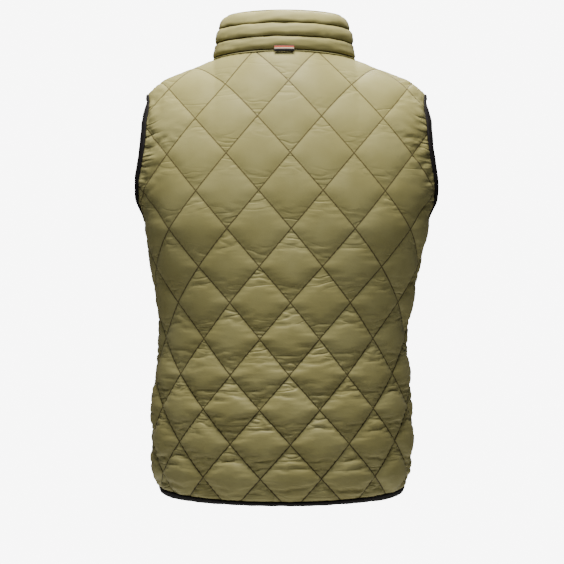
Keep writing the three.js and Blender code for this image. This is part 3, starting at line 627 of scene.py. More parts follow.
@dataclass(frozen=True)
class StripedTab:
    """A small woven tab: a black ground with a rust stripe and a narrow cream stripe along its length."""

    ground: tuple[float, float, float] = (0.012, 0.011, 0.012)
    rust: tuple[float, float, float] = (0.47, 0.075, 0.03)
    cream: tuple[float, float, float] = (0.72, 0.62, 0.47)

    def material(self) -> bpy.types.Material:
        """The material with its nodes."""
        made = Shader("striped tab")
        flat = made.uv("flat")
        height = made.node("ShaderNodeSeparateXYZ", Vector=flat).outputs[1]
        wavy = made.math("ADD", height, made.math("MULTIPLY", made.noise(flat, 700.0, 2.0, 0.5), 0.0004))
        tone = made.mix(made.less(wavy, 0.0078), self.ground, self.rust)
        tone = made.mix(made.less(wavy, 0.0052), tone, self.cream)
        tone = made.mix(made.less(wavy, 0.0038), tone, self.ground)
        weave = made.math("MULTIPLY", made.wave(flat, 1400.0, "X"), made.wave(flat, 1400.0, "Y"))
        tone = made.mix(made.math("MULTIPLY", weave, 0.25), tone, self.ground)
        rough = made.math("ADD", made.math("MULTIPLY", weave, 0.1), 0.7)
        made.finish(tone, rough, made.bump(weave, 0.5, 0.0002), sheen=0.2, sheen_rough=0.5, specular=0.3)
        return made.material


@dataclass(frozen=True)
class MouldedTeeth:
    """Dark moulded plastic with a faint satin."""

    colour: tuple[float, float, float] = (0.03, 0.028, 0.024)

    def material(self) -> bpy.types.Material:
        """The material with its nodes."""
        made = Shader("moulded teeth")
        place = made.object_place()
        tone = made.mix(made.noise(place, 300.0, 3.0, 0.5), self.colour, tuple(2.0 * c for c in self.colour))
        rough = made.math("ADD", made.math("MULTIPLY", made.noise(place, 900.0, 2.0, 0.5), 0.25), 0.3)
        made.finish(tone, rough, made.bump(made.noise(place, 1500.0, 2.0, 0.5), 0.2, 0.0001), specular=0.5)
        return made.material


@dataclass(frozen=True)
class GunMetal:
    """Dark plated metal with fine brushing and paler rubbed places."""

    colour: tuple[float, float, float] = (0.09, 0.085, 0.078)
    rubbed: tuple[float, float, float] = (0.3, 0.28, 0.25)

    def material(self) -> bpy.types.Material:
        """The material with its nodes."""
        made = Shader("gun metal")
        place = made.object_place()
        rubbed = made.smooth(made.noise(place, 260.0, 5.0, 0.6), 0.52, 0.8)
        tone = made.mix(rubbed, self.colour, self.rubbed)
        brushed = made.node("ShaderNodeMapping", Vector=place)
        brushed.inputs["Scale"].default_value = (6.0, 1.0, 0.6)
        lines = made.noise(brushed.outputs[0], 900.0, 3.0, 0.6)
        rough = made.math("ADD", made.math("MULTIPLY", lines, 0.25), 0.22)
        made.finish(tone, rough, made.bump(lines, 0.15, 0.00008), specular=0.5, metallic=1.0)
        return made.material


@dataclass(frozen=True)
class StudioPaint:
    """Plain matt pale paint of the studio's floor."""

    colour: tuple[float, float, float] = (0.86, 0.86, 0.86)

    def material(self) -> bpy.types.Material:
        """The material with its nodes."""
        made = Shader("studio paint")
        tone = made.mix(made.noise(made.object_place(), 1.5, 2.0, 0.5), self.colour,
                        tuple(0.98 * c for c in self.colour))
        rough = made.math("ADD", made.noise(made.object_place(), 3.0, 1.0, 0.5), 0.3)
        made.finish(tone, rough, None, specular=0.2)
        return made.material


class Shader:
    """A material's node tree, with short calls for the nodes that the finishes share."""

    def __init__(self, name: str) -> None:
        """Start an empty material."""
        self.material = bpy.data.materials.new(name)
        self.material.use_nodes = True
        self.tree = self.material.node_tree
        self.tree.nodes.clear()

    def node(self, kind: str, **inputs: object) -> bpy.types.Node:
        """Add a node and join or set the named inputs."""
        made = self.tree.nodes.new(kind)
        for key, value in inputs.items():
            self.feed(made.inputs[key], value)
        return made

    def feed(self, socket: bpy.types.NodeSocket, value: object) -> None:
        """Join a socket to another one's output, or set its value."""
        if isinstance(value, bpy.types.NodeSocket):
            self.tree.links.new(value, socket)
        elif isinstance(value, tuple) and socket.type == "RGBA":
            socket.default_value = (*value, 1.0)
        else:
            socket.default_value = value

    def uv(self, name: str) -> bpy.types.NodeSocket:
        """A UV map's coordinates."""
        made = self.tree.nodes.new("ShaderNodeUVMap")
        made.uv_map = name
        return made.outputs[0]

    def attribute(self, name: str) -> bpy.types.NodeSocket:
        """A point attribute's value."""
        made = self.tree.nodes.new("ShaderNodeAttribute")
        made.attribute_name = name
        return made.outputs["Fac"]

    def object_place(self) -> bpy.types.NodeSocket:
        """The piece's own coordinates."""
        return self.tree.nodes.new("ShaderNodeTexCoord").outputs["Object"]

    def math(self, kind: str, a: object, b: object = 0.0) -> bpy.types.NodeSocket:
        """One step of arithmetic."""
        made = self.tree.nodes.new("ShaderNodeMath")
        made.operation = kind
        self.feed(made.inputs[0], a)
        self.feed(made.inputs[1], b)
        return made.outputs[0]

    def less(self, value: object, limit: float) -> bpy.types.NodeSocket:
        """1 where a value is below a limit, else 0."""
        return self.math("LESS_THAN", value, limit)

    def from_middle(self, value: object) -> bpy.types.NodeSocket:
        """How far a value from 0 to 1 lies from one half."""
        return self.math("ABSOLUTE", self.math("SUBTRACT", value, 0.5))

    def smooth(self, value: object, low: float, high: float) -> bpy.types.NodeSocket:
        """A soft step from 0 at low to 1 at high."""
        made = self.tree.nodes.new("ShaderNodeMapRange")
        made.interpolation_type = "SMOOTHSTEP"
        self.feed(made.inputs["Value"], value)
        made.inputs["From Min"].default_value = low
        made.inputs["From Max"].default_value = high
        return made.outputs[0]

    def mix(self, share: object, a: object, b: object) -> bpy.types.NodeSocket:
        """A colour between two, by share."""
        made = self.tree.nodes.new("ShaderNodeMix")
        made.data_type = "RGBA"
        colours = [s for s in made.inputs if s.type == "RGBA"]
        self.feed(made.inputs["Factor"], share)
        self.feed(colours[0], a)
        self.feed(colours[1], b)
        return next(s for s in made.outputs if s.type == "RGBA")

    def noise(self, place: object, scale: float, detail: float, rough: float) -> bpy.types.NodeSocket:
        """Cloudy noise."""
        made = self.node("ShaderNodeTexNoise", Vector=place, Scale=scale, Detail=detail, Roughness=rough)
        return made.outputs[0]

    def wave(self, place: object, scale: float, axis: str) -> bpy.types.NodeSocket:
        """Even ribs across an axis, as many to the metre as the scale says."""
        made = self.node("ShaderNodeTexWave", Vector=place, Scale=scale / 3.1416, Distortion=0.0)
        made.bands_direction = axis
        return made.outputs["Fac"]

    def bump(self, height: object, strength: float, distance: float,
             after: object = None) -> bpy.types.NodeSocket:
        """Relief from a height, laid over another relief."""
        made = self.node("ShaderNodeBump", Height=height, Strength=strength, Distance=distance)
        if after is not None:
            self.feed(made.inputs["Normal"], after)
        return made.outputs[0]

    def finish(self, colour: object, rough: object, normal: object, sheen: float = 0.0,
               sheen_rough: float = 0.5, specular: float = 0.5, metallic: float = 0.0) -> None:
        """Close the tree with its surface shader.

        Args:
            colour: The base colour.
            rough: The roughness.
            normal: The relief, or None.
            sheen: Strength of the cloth's sheen.
            sheen_rough: Its spread.
            specular: Specular level.
            metallic: 1 for metal.
        """
        shader = self.node("ShaderNodeBsdfPrincipled", **{"Base Color": colour, "Roughness": rough})
        shader.inputs["Metallic"].default_value = metallic
        shader.inputs["Specular IOR Level"].default_value = specular
        shader.inputs["Sheen Weight"].default_value = sheen
        shader.inputs["Sheen Roughness"].default_value = sheen_rough
        if normal is not None:
            self.feed(shader.inputs["Normal"], normal)
        out = self.tree.nodes.new("ShaderNodeOutputMaterial")
        self.feed(out.inputs["Surface"], shader.outputs[0])


# Quilted panels


@dataclass
class Quilting:
    """The diamonds that are stitched through a panel."""

    across: float = 46.0
    up: float = 54.5
    start_across: float = 3.0
    start_up: float = 204.5
    lean: float = 0.018
    cells: int = 16
    puff: float = 6.5
    pinch: float = 16.0
    wall: float = 2.2


@dataclass
class QuiltedPanel:
    """One quilted panel: a lattice of points cut to its outline and swelled between its stitching."""

    name: str
    node: str
    face: Face
    outline: Array
    quilting: Quilting
    form: WornForm
    armhole_top: float
    seed: int
    flat_top: float = 0.38
    flat_low: float = 0.87
    rounding: float = 7.0
    pucker: float = 6.0
    pucker_fade: float = 18.0
    pucker_slant: float = 0.35
    pressure: float = 70.0
    frames: int = 16
    drawn_by: int = 7  # the frame by which the held edges are in place

    def lay_out(self) -> None:
        """Make the lattice of flat points, keep the cells inside the outline and draw their rim onto it."""
        quilt = self.quilting
        n = quilt.cells
        low = self.outline.min(0) - (quilt.start_across, quilt.start_up)
        high = self.outline.max(0) - (quilt.start_across, quilt.start_up)
        i0, i1 = int(np.floor(low[0] / quilt.across - 0.3)), int(np.ceil(high[0] / quilt.across + 0.3))
        j0, j1 = int(np.floor(low[1] / quilt.up - 0.3)), int(np.ceil(high[1] / quilt.up + 0.3))
        i, j = np.meshgrid(np.arange(i0 * n, i1 * n + 1), np.arange(j0 * n, j1 * n + 1))
        q = quilt.start_up + quilt.up * j / n
        p = quilt.start_across + quilt.lean * (quilt.start_up - q) + quilt.across * i / n
        j = j + n
        number = np.arange(i.size).reshape(i.shape)
        a, b = number[:-1, :-1].ravel(), number[:-1, 1:].ravel()
        d, c = number[1:, :-1].ravel(), number[1:, 1:].ravel()
        middle = np.stack([(p.ravel()[a] + p.ravel()[c]) / 2, (q.ravel()[a] + q.ravel()[c]) / 2], -1)
        kept = inside(self.outline, middle)
        a, b, c, d = a[kept], b[kept], c[kept], d[kept]
        used, order = np.unique(np.concatenate([a, b, c, d]), return_inverse=True)
        a, b, c, d = order.reshape(4, -1)
        self.flat = np.stack([p.ravel()[used], q.ravel()[used]], -1)
        i, j = i.ravel()[used], j.ravel()[used]
        self.lattice = np.stack([(i + j) / (2 * n), (i - j) / (2 * n)], -1)
        self.on_line = ((i + j) % (2 * n) == n) | ((i - j) % (2 * n) == n)
        falls = (i[a] + j[a] + 1) % (2 * n) == n
        rises = (i[a] - j[a]) % (2 * n) == n
        whole = ~falls & ~rises
        self.quads = np.stack([a, b, c, d], -1)[whole]
        first = np.where(falls[:, None], np.stack([a, b, d], -1), np.stack([a, b, c], -1))
        second = np.where(falls[:, None], np.stack([b, c, d], -1), np.stack([a, c, d], -1))
        self.triangles = np.concatenate([first[~whole], second[~whole]])
        sides = np.concatenate([f[:, [k, (k + 1) % f.shape[1]]] for f in (self.quads, self.triangles)
                                for k in range(f.shape[1])])
        key = np.sort(sides, 1) @ (len(used), 1)
        _, first_at, count = np.unique(key, return_index=True, return_counts=True)
        self.rim = sides[first_at[count == 1]]
        self.on_rim = np.zeros(len(used), bool)
        self.on_rim[self.rim.ravel()] = True
        depth, nearest, along = depth_inside(self.outline, self.flat)
        self.flat[self.on_rim] = nearest[self.on_rim]
        self.depth = np.where(self.on_rim, 0.0, np.maximum(depth, 0))
        level = nearest[:, 1]
        # The gathering starts just above the underarm, stops below the shoulder, and is only at the sides
        start, start_span, end_span, side_from = 4, 25, 45, 120
        beside = (np.clip((level - start) / start_span, 0, 1)
                  * np.clip((self.armhole_top - level) / end_span, 0, 1))
        by_armhole = np.where(np.abs(nearest[:, 0]) > side_from, beside, 0)
        self.gather = by_armhole * np.exp(-self.depth / self.pucker_fade)
        self.slanted = along - self.pucker_slant * self.depth * np.sign(self.flat[:, 0])

    def fullness(self) -> Array:
        """How full the padding is: 0 on the stitching and at the seams, 1 in a diamond's middle.

        It is the product of both lattice directions' parabolas to a power, times a rounded rise from the
        panel's edge.
        """
        off = np.abs(self.lattice - np.round(self.lattice)) * 2
        inner = np.prod(np.maximum(0, 1 - off**2), -1) ** 0.65
        edge = np.minimum(1, self.depth / self.quilting.pinch)
        return inner * edge * np.sqrt(3 - 2 * edge)

    def slack(self) -> Array:
        """How loose the cloth is at each flat point, from 0 at the shoulders to 1 at the hem."""
        return np.clip((60 - self.flat[:, 1]) / 330, 0, 1)

    def puckers(self) -> Array:
        """Short puckers that run in from an armhole's binding and rise a little.

        Their height is a power of the size of a noise along the edge, so valleys are sharp and ridges round,
        and it fades with the depth.
        """
        ridges = np.abs(soft_noise(self.slanted / 22, self.depth / 50, self.seed + 9)) ** 0.7 - 0.45
        return self.pucker * ridges * self.gather * np.minimum(1, self.depth / 9)

    def swell(self) -> Array:
        """Let the padding swell in Blender's cloth, each diamond held on its stitching.

        Every diamond starts a little larger than its place, by the cloth that is to spare. Its held edge
        draws in over the first frames, so the rest rises and creases.

        Returns:
            Places in flat measure: across, up, and out of the cloth, one row for each point.
        """
        rng = np.random.default_rng(self.seed)
        cells = [self.quads, self.triangles]
        size = len(self.flat)
        owner = [np.round(self.lattice[f].mean(1)).astype(int) for f in cells]
        most = 64  # more diamonds than there are to either side of the first
        owner = [(o[:, 0] + most) * 2 * most + o[:, 1] + most for o in owner]
        keys = np.concatenate([(o[:, None] * size + f).ravel() for o, f in zip(owner, cells)])
        pairs, order = np.unique(keys, return_inverse=True)
        count = len(cells[0]) * 4
        faces = [order[:count].reshape(-1, 4), order[count:].reshape(-1, 3)]
        point, diamond = pairs % size, pairs // size
        held = (self.on_line | self.on_rim)[point]
        target = np.zeros((len(pairs), 3))
        target[:, [0, 2]] = self.flat[point]
        uneven = rng.normal(0, 0.12, len(pairs))
        target[:, 1] = np.where(held, 0, -2.6 * self.fullness()[point] - uneven)
        _, group = np.unique(diamond, return_inverse=True)
        members = np.bincount(group)
        middle = np.stack([np.bincount(group, target[:, k]) / members for k in (0, 2)], -1)
        slack = np.bincount(group, self.slack()[point]) / members
        near_rim = np.bincount(group, self.on_rim[point].astype(float)) > 0
        by_armhole = near_rim & (middle[:, 1] > -30) & (np.abs(middle[:, 0]) > 135)
        luck = rng.uniform(0.75, 1.25, (len(members), 2))
        spare = np.stack([0.014 + 0.018 * slack, 0.018 + 0.1 * slack], -1) * luck
        spare[near_rim] += (0.008, 0.01)
        spare[by_armhole] += (0.03, 0.07)
        start = target.copy()
        for k, axis in enumerate((0, 2)):
            start[:, axis] = middle[group, k] + (target[:, axis] - middle[group, k]) * (1 + spare[group, k])
        return self.run_cloth(start, target, faces, held, point)

    def run_cloth(self, start: Array, target: Array, faces: list[Array], held: Array, point: Array) -> Array:
        """Run the simulation and read its last frame.

        Args:
            start: The loose cloth's points.
            target: Where the held points are drawn to.
            faces: The diamonds' faces.
            held: Which points are held.
            point: The panel's point that each simulated point stands for.

        Returns:
            Places in flat measure, one row for each point of the panel.
        """
        cloth = new_piece(self.name + "_loose", start, faces)
        cloth.shape_key_add(name="Basis")
        drawn = cloth.shape_key_add(name="drawn")
        drawn.data.foreach_set("co", (target * MM).astype(np.float32).ravel())
        group = cloth.vertex_groups.new(name="held")
        group.add(np.flatnonzero(held).tolist(), 1.0, "REPLACE")
        modifier = cloth.modifiers.new("Cloth", "CLOTH")
        settings = modifier.settings
        settings.quality = 4
        settings.mass = 0.01
        settings.tension_stiffness = settings.compression_stiffness = 5.0
        settings.shear_stiffness = 1.0
        settings.bending_stiffness = 0.25
        settings.tension_damping = settings.compression_damping = settings.shear_damping = 0.5
        settings.bending_damping = 0.5
        settings.vertex_group_mass = "held"
        settings.use_pressure = True
        settings.uniform_pressure_force = self.pressure
        settings.effector_weights.gravity = 0.0
        modifier.collision_settings.use_collision = False
        modifier.point_cache.frame_start = 1
        modifier.point_cache.frame_end = self.frames
        scene = bpy.context.scene
        for value, number in ((0.0, 1), (1.0, self.drawn_by)):
            drawn.value = value
            drawn.keyframe_insert("value", frame=number)
        for number in range(1, self.frames + 1):
            scene.frame_set(number)
        shown = cloth.evaluated_get(bpy.context.evaluated_depsgraph_get())
        mesh = shown.to_mesh()
        places = np.empty(len(mesh.vertices) * 3, np.float32)
        mesh.vertices.foreach_get("co", places)
        shown.to_mesh_clear()
        loose = cloth.data
        action = loose.shape_keys.animation_data.action
        bpy.data.objects.remove(cloth)
        bpy.data.meshes.remove(loose)
        bpy.data.actions.remove(action)
        scene.frame_set(1)
        places = places.reshape(-1, 3)[:, [0, 2, 1]] / MM
        made = np.zeros((len(self.flat), 3))
        made[point] = places
        made[:, 2] *= -1
        fixed = self.on_line | self.on_rim
        made[fixed] = np.column_stack([self.flat[fixed], np.zeros(fixed.sum())])
        return made

    def build(self, cloth: bpy.types.Material, lining: bpy.types.Material) -> bpy.types.Object:
        """Build the panel: the swelled outside, the plain inside, and the wall between them at the edge.

        Args:
            cloth: The outside's finish.
            lining: The inside's finish.

        Returns:
            The piece.
        """
        self.lay_out()
        quilt = self.quilting
        moved = self.swell()
        reach = np.array([3.0, 4.0])
        near_edge = 1 - np.minimum(1, self.depth / self.rounding)
        rise = np.sqrt(1 - near_edge**2)
        shift = moved[:, :2] - self.flat
        moved[:, :2] = self.flat + reach * np.tanh(shift / reach) * rise[:, None]
        cap = quilt.puff * (1.35 + 0.4 * self.slack())
        out = cap * np.tanh(np.maximum(moved[:, 2], -1.0) / cap)
        share = self.flat_top + (self.flat_low - self.flat_top) * self.slack()
        out = (out * share + self.puckers()) * rise
        p, q = moved[:, 0], moved[:, 1]
        outside = self.form.place(self.face, p, q) + self.form.outward(self.face, p, q) * out[:, None]
        p, q = self.flat.T
        wave = 0.5 * soft_noise(p / 45, q / 30, self.seed + 5) * np.minimum(1, self.depth / 20)
        depth = -quilt.wall + np.minimum(0, wave)
        within = self.form.place(self.face, p, q) + self.form.outward(self.face, p, q) * depth[:, None]
        size = len(self.flat)
        walls = np.stack([self.rim[:, 1], self.rim[:, 0], self.rim[:, 0] + size, self.rim[:, 1] + size], -1)
        faces = [self.quads, self.triangles, walls,
                 self.quads[:, ::-1] + size, self.triangles[:, ::-1] + size]
        both = np.concatenate([self.flat, self.flat])
        lattice = np.concatenate([self.lattice, self.lattice])
        # edge and slack also set where the nylon paints its seam shade
        marks = {"edge": self.depth, "slack": self.slack(), "gather": self.gather, "run": self.slanted * MM}
        marks = {key: np.tile(value, 2) for key, value in marks.items()}
        made = new_piece(self.name, np.concatenate([outside, within]), faces,
                         {"flat": both * MM, "lattice": lattice}, marks)
        made.data.materials.append(cloth)
        made.data.materials.append(lining)
        kinds = np.zeros(sum(len(f) for f in faces), np.int32)
        kinds[-len(self.quads) - len(self.triangles):] = 1
        made.data.polygons.foreach_set("material_index", kinds)
        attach(made, "vest")
        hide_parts(self.node)
        return made

    def declare(self, made: bpy.types.Object, hangs_from: bpy.types.Object) -> None:
        width, length = np.ptp(self.outline, axis=0) * MM
        float(polygon_area(self.outline)) * MM * MM


def polygon_area(outline: Array) -> float:
    """The area inside an outline, by the shoelace rule."""
    after = np.roll(outline, -1, 0)
    return float(abs((outline[:, 0] * after[:, 1] - after[:, 0] * outline[:, 1]).sum()) / 2)


def inside(outline: Array, points: Array) -> Array:
    """Which points lie inside an outline: those that an odd number of its sides pass on their right."""
    ap, aq = outline.T
    bp, bq = np.roll(outline, -1, 0).T
    p, q = points[:, 0, None], points[:, 1, None]
    spans = (aq > q) != (bq > q)
    rise = np.where(bq == aq, 1.0, bq - aq)
    return ((spans & (p < ap + (bp - ap) * (q - aq) / rise)).sum(1) % 2).astype(bool)


def depth_inside(outline: Array, points: Array) -> tuple[Array, Array, Array]:
    """How far inside an outline each point lies, negative outside, the outline's nearest place to it, and
    how far along the outline that place is."""
    run = np.roll(outline, -1, 0) - outline
    sizes = np.hypot(run[:, 0], run[:, 1])
    along = np.zeros(len(points))
    best = np.full(len(points), np.inf)
    nearest = np.zeros_like(points)
    for first in range(0, len(points), 4000):
        some = slice(first, first + 4000)
        off = points[some, None, :] - outline[None]
        t = np.clip((off * run).sum(-1) / np.maximum((run * run).sum(-1), 1e-9), 0, 1)
        gap = off - t[..., None] * run
        far = np.hypot(gap[..., 0], gap[..., 1])
        pick = far.argmin(1)
        rows = np.arange(len(pick))
        best[some] = far[rows, pick]
        nearest[some] = points[some] - gap[rows, pick]
        along[some] = (sizes.cumsum() - sizes)[pick] + t[rows, pick] * sizes[pick]
    return np.where(inside(outline, points), best, -best), nearest, along


# The collar


@dataclass
class StandCollar:
    """The stand collar: three padded channels round the neck, each swelling between two seams."""

    form: WornForm
    pattern: Pattern
    # height share, half width, back, front
    rings: Array = field(default_factory=lambda: np.array([
        (0, 103, 66, -98),
        (1 / 6, 100.5, 67, -100),
        (0.5, 98, 66, -102),
        (0.84, 91, 61, -101.5),
        (1, 84, 55, -99),
    ]))
    rise_back: float = 58.0
    rise_side: float = 62.0
    rise_front: float = 60.0
    channels: int = 3
    puff: float = 4.5
    wall: float = 2.6
    seam_gap: float = 0.5
    side_gap: float = 1.7
    zip_gap: float = 6.65
    lip: float = 1.6  # how far the outside stands off at the top edge
    fold_rise: float = 1.5
    arc_radius: float = 90.0  # turns an angle into a length for the noises
    map_radius: float = 95.0
    map_height: float = 60.0

    def __post_init__(self) -> None:
        """Work out the rings' curves and the neck seam's worn places."""
        names = ("half", Face.BACK, Face.FRONT)
        self.ring = {key: smooth_curve(self.rings[:, 0], self.rings[:, c + 1]) for c, key in enumerate(names)}
        column = np.linspace(0, self.form.neck_half, 400)
        self.columns = column
        self.seam_z = {}
        for face in Face:
            flat = self.pattern.neck_flat(face, column)
            self.seam_z[face] = self.form.place(face, flat[:, 0], flat[:, 1])[:, 2]

    def middle(self, angle: Array, v: Array) -> Array:
        """The collar's middle surface, by the angle round the neck from the centre back and height share."""
        form = self.form
        sine, cosine = np.abs(np.sin(angle)), np.cos(angle)
        column = form.neck_half * sine
        z = np.where(cosine >= 0, np.interp(column, self.columns, self.seam_z[Face.BACK]),
                     np.interp(column, self.columns, self.seam_z[Face.FRONT]))
        front, back = np.maximum(0, -cosine) ** 2, np.maximum(0, cosine) ** 2
        rise = self.rise_side + (self.rise_back - self.rise_side) * back
        rise = rise + (self.rise_front - rise) * front
        depth = np.where(cosine >= 0, self.ring[Face.BACK](v), self.ring[Face.FRONT](v)) - form.neck_side[0]
        gap = self.side_gap + (self.seam_gap - self.side_gap) * cosine**2
        return np.stack([form.lean(z) - self.ring["half"](v) * np.sin(angle),
                         form.neck_side[0] + depth * np.abs(cosine), z + gap + rise * v], -1)

    def outward(self, angle: Array, v: Array, step: float = 0.01) -> Array:
        """The middle surface's outward direction."""
        around = self.middle(angle + step, v) - self.middle(angle - step, v)
        up = self.middle(angle, np.minimum(1, v + step)) - self.middle(angle, np.maximum(0, v - step))
        return unit(np.cross(around, up))

    @staticmethod
    def rounded(within: Array) -> Array:
        """A channel's profile by the share of its height: broad in the middle and steep at both seams.

        It is a power of one less the cube of the distance from its middle.
        """
        return np.maximum(0, 1 - np.abs(2 * within - 1) ** 3) ** 0.55

    def build(self, cloth: bpy.types.Material, lining: bpy.types.Material) -> bpy.types.Object:
        """Build the collar as a section carried round the neck: channels, a fold on top, a plain inside.

        Each channel stands off by its rounded profile between its seams. Small puckers run up from the
        seams and fade towards a channel's middle.

        Args:
            cloth: The outside's finish.
            lining: The inside's finish.

        Returns:
            The piece.
        """
        stations, per_channel = 620, 13
        share = (1 - np.cos(np.linspace(0, np.pi, per_channel))) / 2
        v_out = np.concatenate([(k + share[:-1]) / self.channels for k in range(self.channels)] + [[1.0]])
        v_out[0] = -0.022
        top = 6
        fold = np.linspace(0, np.pi, top + 2)[1:-1]
        v_in = np.linspace(0.985, -0.05, len(v_out))
        v = np.concatenate([v_out, np.ones(top), v_in])
        turn = np.linspace(-np.pi, np.pi, stations)[:, None]
        limit = np.pi - np.arcsin(self.zip_gap / self.ring["half"](v))[None, :]
        angle = np.clip(turn, -limit, limit)
        within = np.maximum(v_out, 0) * self.channels % 1
        round_off = self.rounded(within)
        round_off[-1] = 0.0
        arc = angle[:, :len(v_out)] * self.arc_radius
        channel = np.clip(np.floor(v_out * self.channels + 1e-6), 0, self.channels - 1)
        swell = 1 + 0.12 * soft_noise(arc / 60, channel[None, :] * 7.3 + 0 * arc, 11)
        near_seam = np.exp(-((np.minimum(within, 1 - within) / 0.2) ** 2))[None, :]
        pucker = soft_noise(arc / 15, channel[None, :] * 5.1 + within[None, :] * 0.8, 12) * near_seam
        long_crease = soft_noise(arc / 70, within[None, :] * 2.3 + channel[None, :] * 3.7, 13)
        bump = round_off[None, :] * (self.puff * swell + 0.45 * pucker + 0.35 * long_crease)
        sway = 0.4 * soft_noise(arc / 40, channel[None, :] * 3.1 + 0 * arc, 14)
        out = np.zeros(angle.shape)
        out[:, :len(v_out)] = 0.1 + bump
        lift = np.zeros(angle.shape)
        lift[:, :len(v_out)] = sway * np.sin(np.pi * v_out)[None, :]
        half = (self.wall + self.lip) / 2
        crest = slice(len(v_out), len(v_out) + top)
        out[:, crest] = self.lip - half + half * np.cos(fold)[None, :]
        lift[:, crest] = self.fold_rise * np.sin(fold)[None, :]
        out[:, len(v_out) - 1] = self.lip
        inner = slice(len(v_out) + top, None)
        rest = soft_noise(angle[:, inner] * self.arc_radius / 40, v_in[None, :] * 2 + 0 * angle[:, inner], 15)
        out[:, inner] = -self.wall - 0.3 * np.abs(rest)
        heights = np.broadcast_to(v, angle.shape)
        rows = self.middle(angle, heights) + self.outward(angle, heights) * out[..., None]
        rows[..., 2] += lift
        flat = np.stack([angle * self.map_radius, heights * self.map_height], -1).reshape(-1, 2)
        # Distances to the channels' seams, where the nylon paints its seam shade
        line = np.zeros(angle.shape) + 40.0
        line[:, :len(v_out)] = (np.minimum(within, 1 - within) * self.map_height / self.channels)[None, :]
        line[:, len(v_out) - 1] = 6.0
        slack = np.full(angle.shape, 0.25)
        # The bottom edge, at the join with the back, gets the darkest painted seam shade
        line[:, 0] = 0.0
        slack[:, 0] = 1.0
        line[:, -1] = 6.0
        lattice = np.zeros((angle.size, 2))
        made = swept_tube("stand_collar", rows, {"flat": flat * MM, "lattice": lattice}, False,
                          {"edge": line.ravel(), "slack": slack.ravel()})
        made.data.materials.append(cloth)
        made.data.materials.append(lining)
        across = np.tile(np.arange(rows.shape[1]), stations - 1)
        kinds = np.zeros(len(made.data.polygons), np.int32)
        kinds[:len(across)] = (across >= len(v_out) + top) & (across < rows.shape[1] - 2)
        made.data.polygons.foreach_set("material_index", kinds)
        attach(made, "vest")
        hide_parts("collar")
        return made


# Bindings


@dataclass
class FoldedTape:
    """A tape folded over a cloth's edge: a thin shell of U section, with soft unevenness along it."""

    width: float = 9.4
    out: float = 2.9
    within: float = 2.9
    thick: float = 0.6
    lap: float = 1.6

    def section(self, count: int = 9) -> Array:
        """The closed section, out from the edge and out of the cloth: the outer U, then the inner U back."""
        turn = np.linspace(np.pi / 2, -np.pi / 2, count)
        half = (self.out + self.within) / 2
        level = (self.out - self.within) / 2
        rings = []
        for inset in (0.0, self.thick):
            bow = np.stack([self.width - half * 1.2 + (half * 1.2 - inset) * np.cos(turn),
                            level + (half - inset) * np.sin(turn)], -1)
            lip_out = [(-self.lap, self.out * 0.55 - inset), (0.8, self.out - inset)]
            lip_in = [(0.8, -self.within + inset), (-self.lap, -self.within - 0.5 + inset)]
            rings.append(np.concatenate([lip_out, bow, lip_in]))
        return np.concatenate([rings[0], rings[1][::-1]])

    def sweep(self, name: str, at: Array, across: Array, out: Array, closed: bool,
              cloth: bpy.types.Material, seed: int) -> bpy.types.Object:
        """Carry the section along stations.

        Args:
            name: The piece's name.
            at: Stations on the cloth's edge.
            across: The way out of the cloth at each station.
            out: The way out of its surface.
            closed: Whether the tape runs round.
            cloth: The finish.
            seed: Fixes the unevenness.

        Returns:
            The piece.
        """
        section = self.section()
        step = np.linalg.norm(np.diff(at, axis=0), axis=1)
        run = np.concatenate([[0], step.cumsum()])[:, None]
        reach = np.maximum(0, section[:, 0])[None, :] / self.width
        if closed:
            whole = run[-1] + np.linalg.norm(at[0] - at[-1])
            turn = run / whole * 2 * np.pi
            wave = soft_noise(np.cos(turn) * 3.2 + section[None, :, 1] * 0.05, np.sin(turn) * 3.2, seed)
        else:
            wave = soft_noise(run / 55, section[None, :, 1] * 0.05 + 0 * run, seed)
        u = section[None, :, 0] + 0.35 * wave * reach
        place = turn * 8 / np.pi if closed else run / 23
        w = section[None, :, 1] + 0.3 * soft_noise(place, reach, seed + 1) * reach
        rows = at[:, None] + across[:, None] * u[..., None] + out[:, None] * w[..., None]
        girth = np.concatenate([[0], np.hypot(*np.diff(section, axis=0).T).cumsum()])[None, :]
        flat = np.stack([run + 0 * girth, girth + 0 * run], -1).reshape(-1, 2)
        made = swept_tube(name, rows, {"flat": flat * MM}, closed)
        made.data.materials.append(cloth)
        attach(made, "vest")
        return made


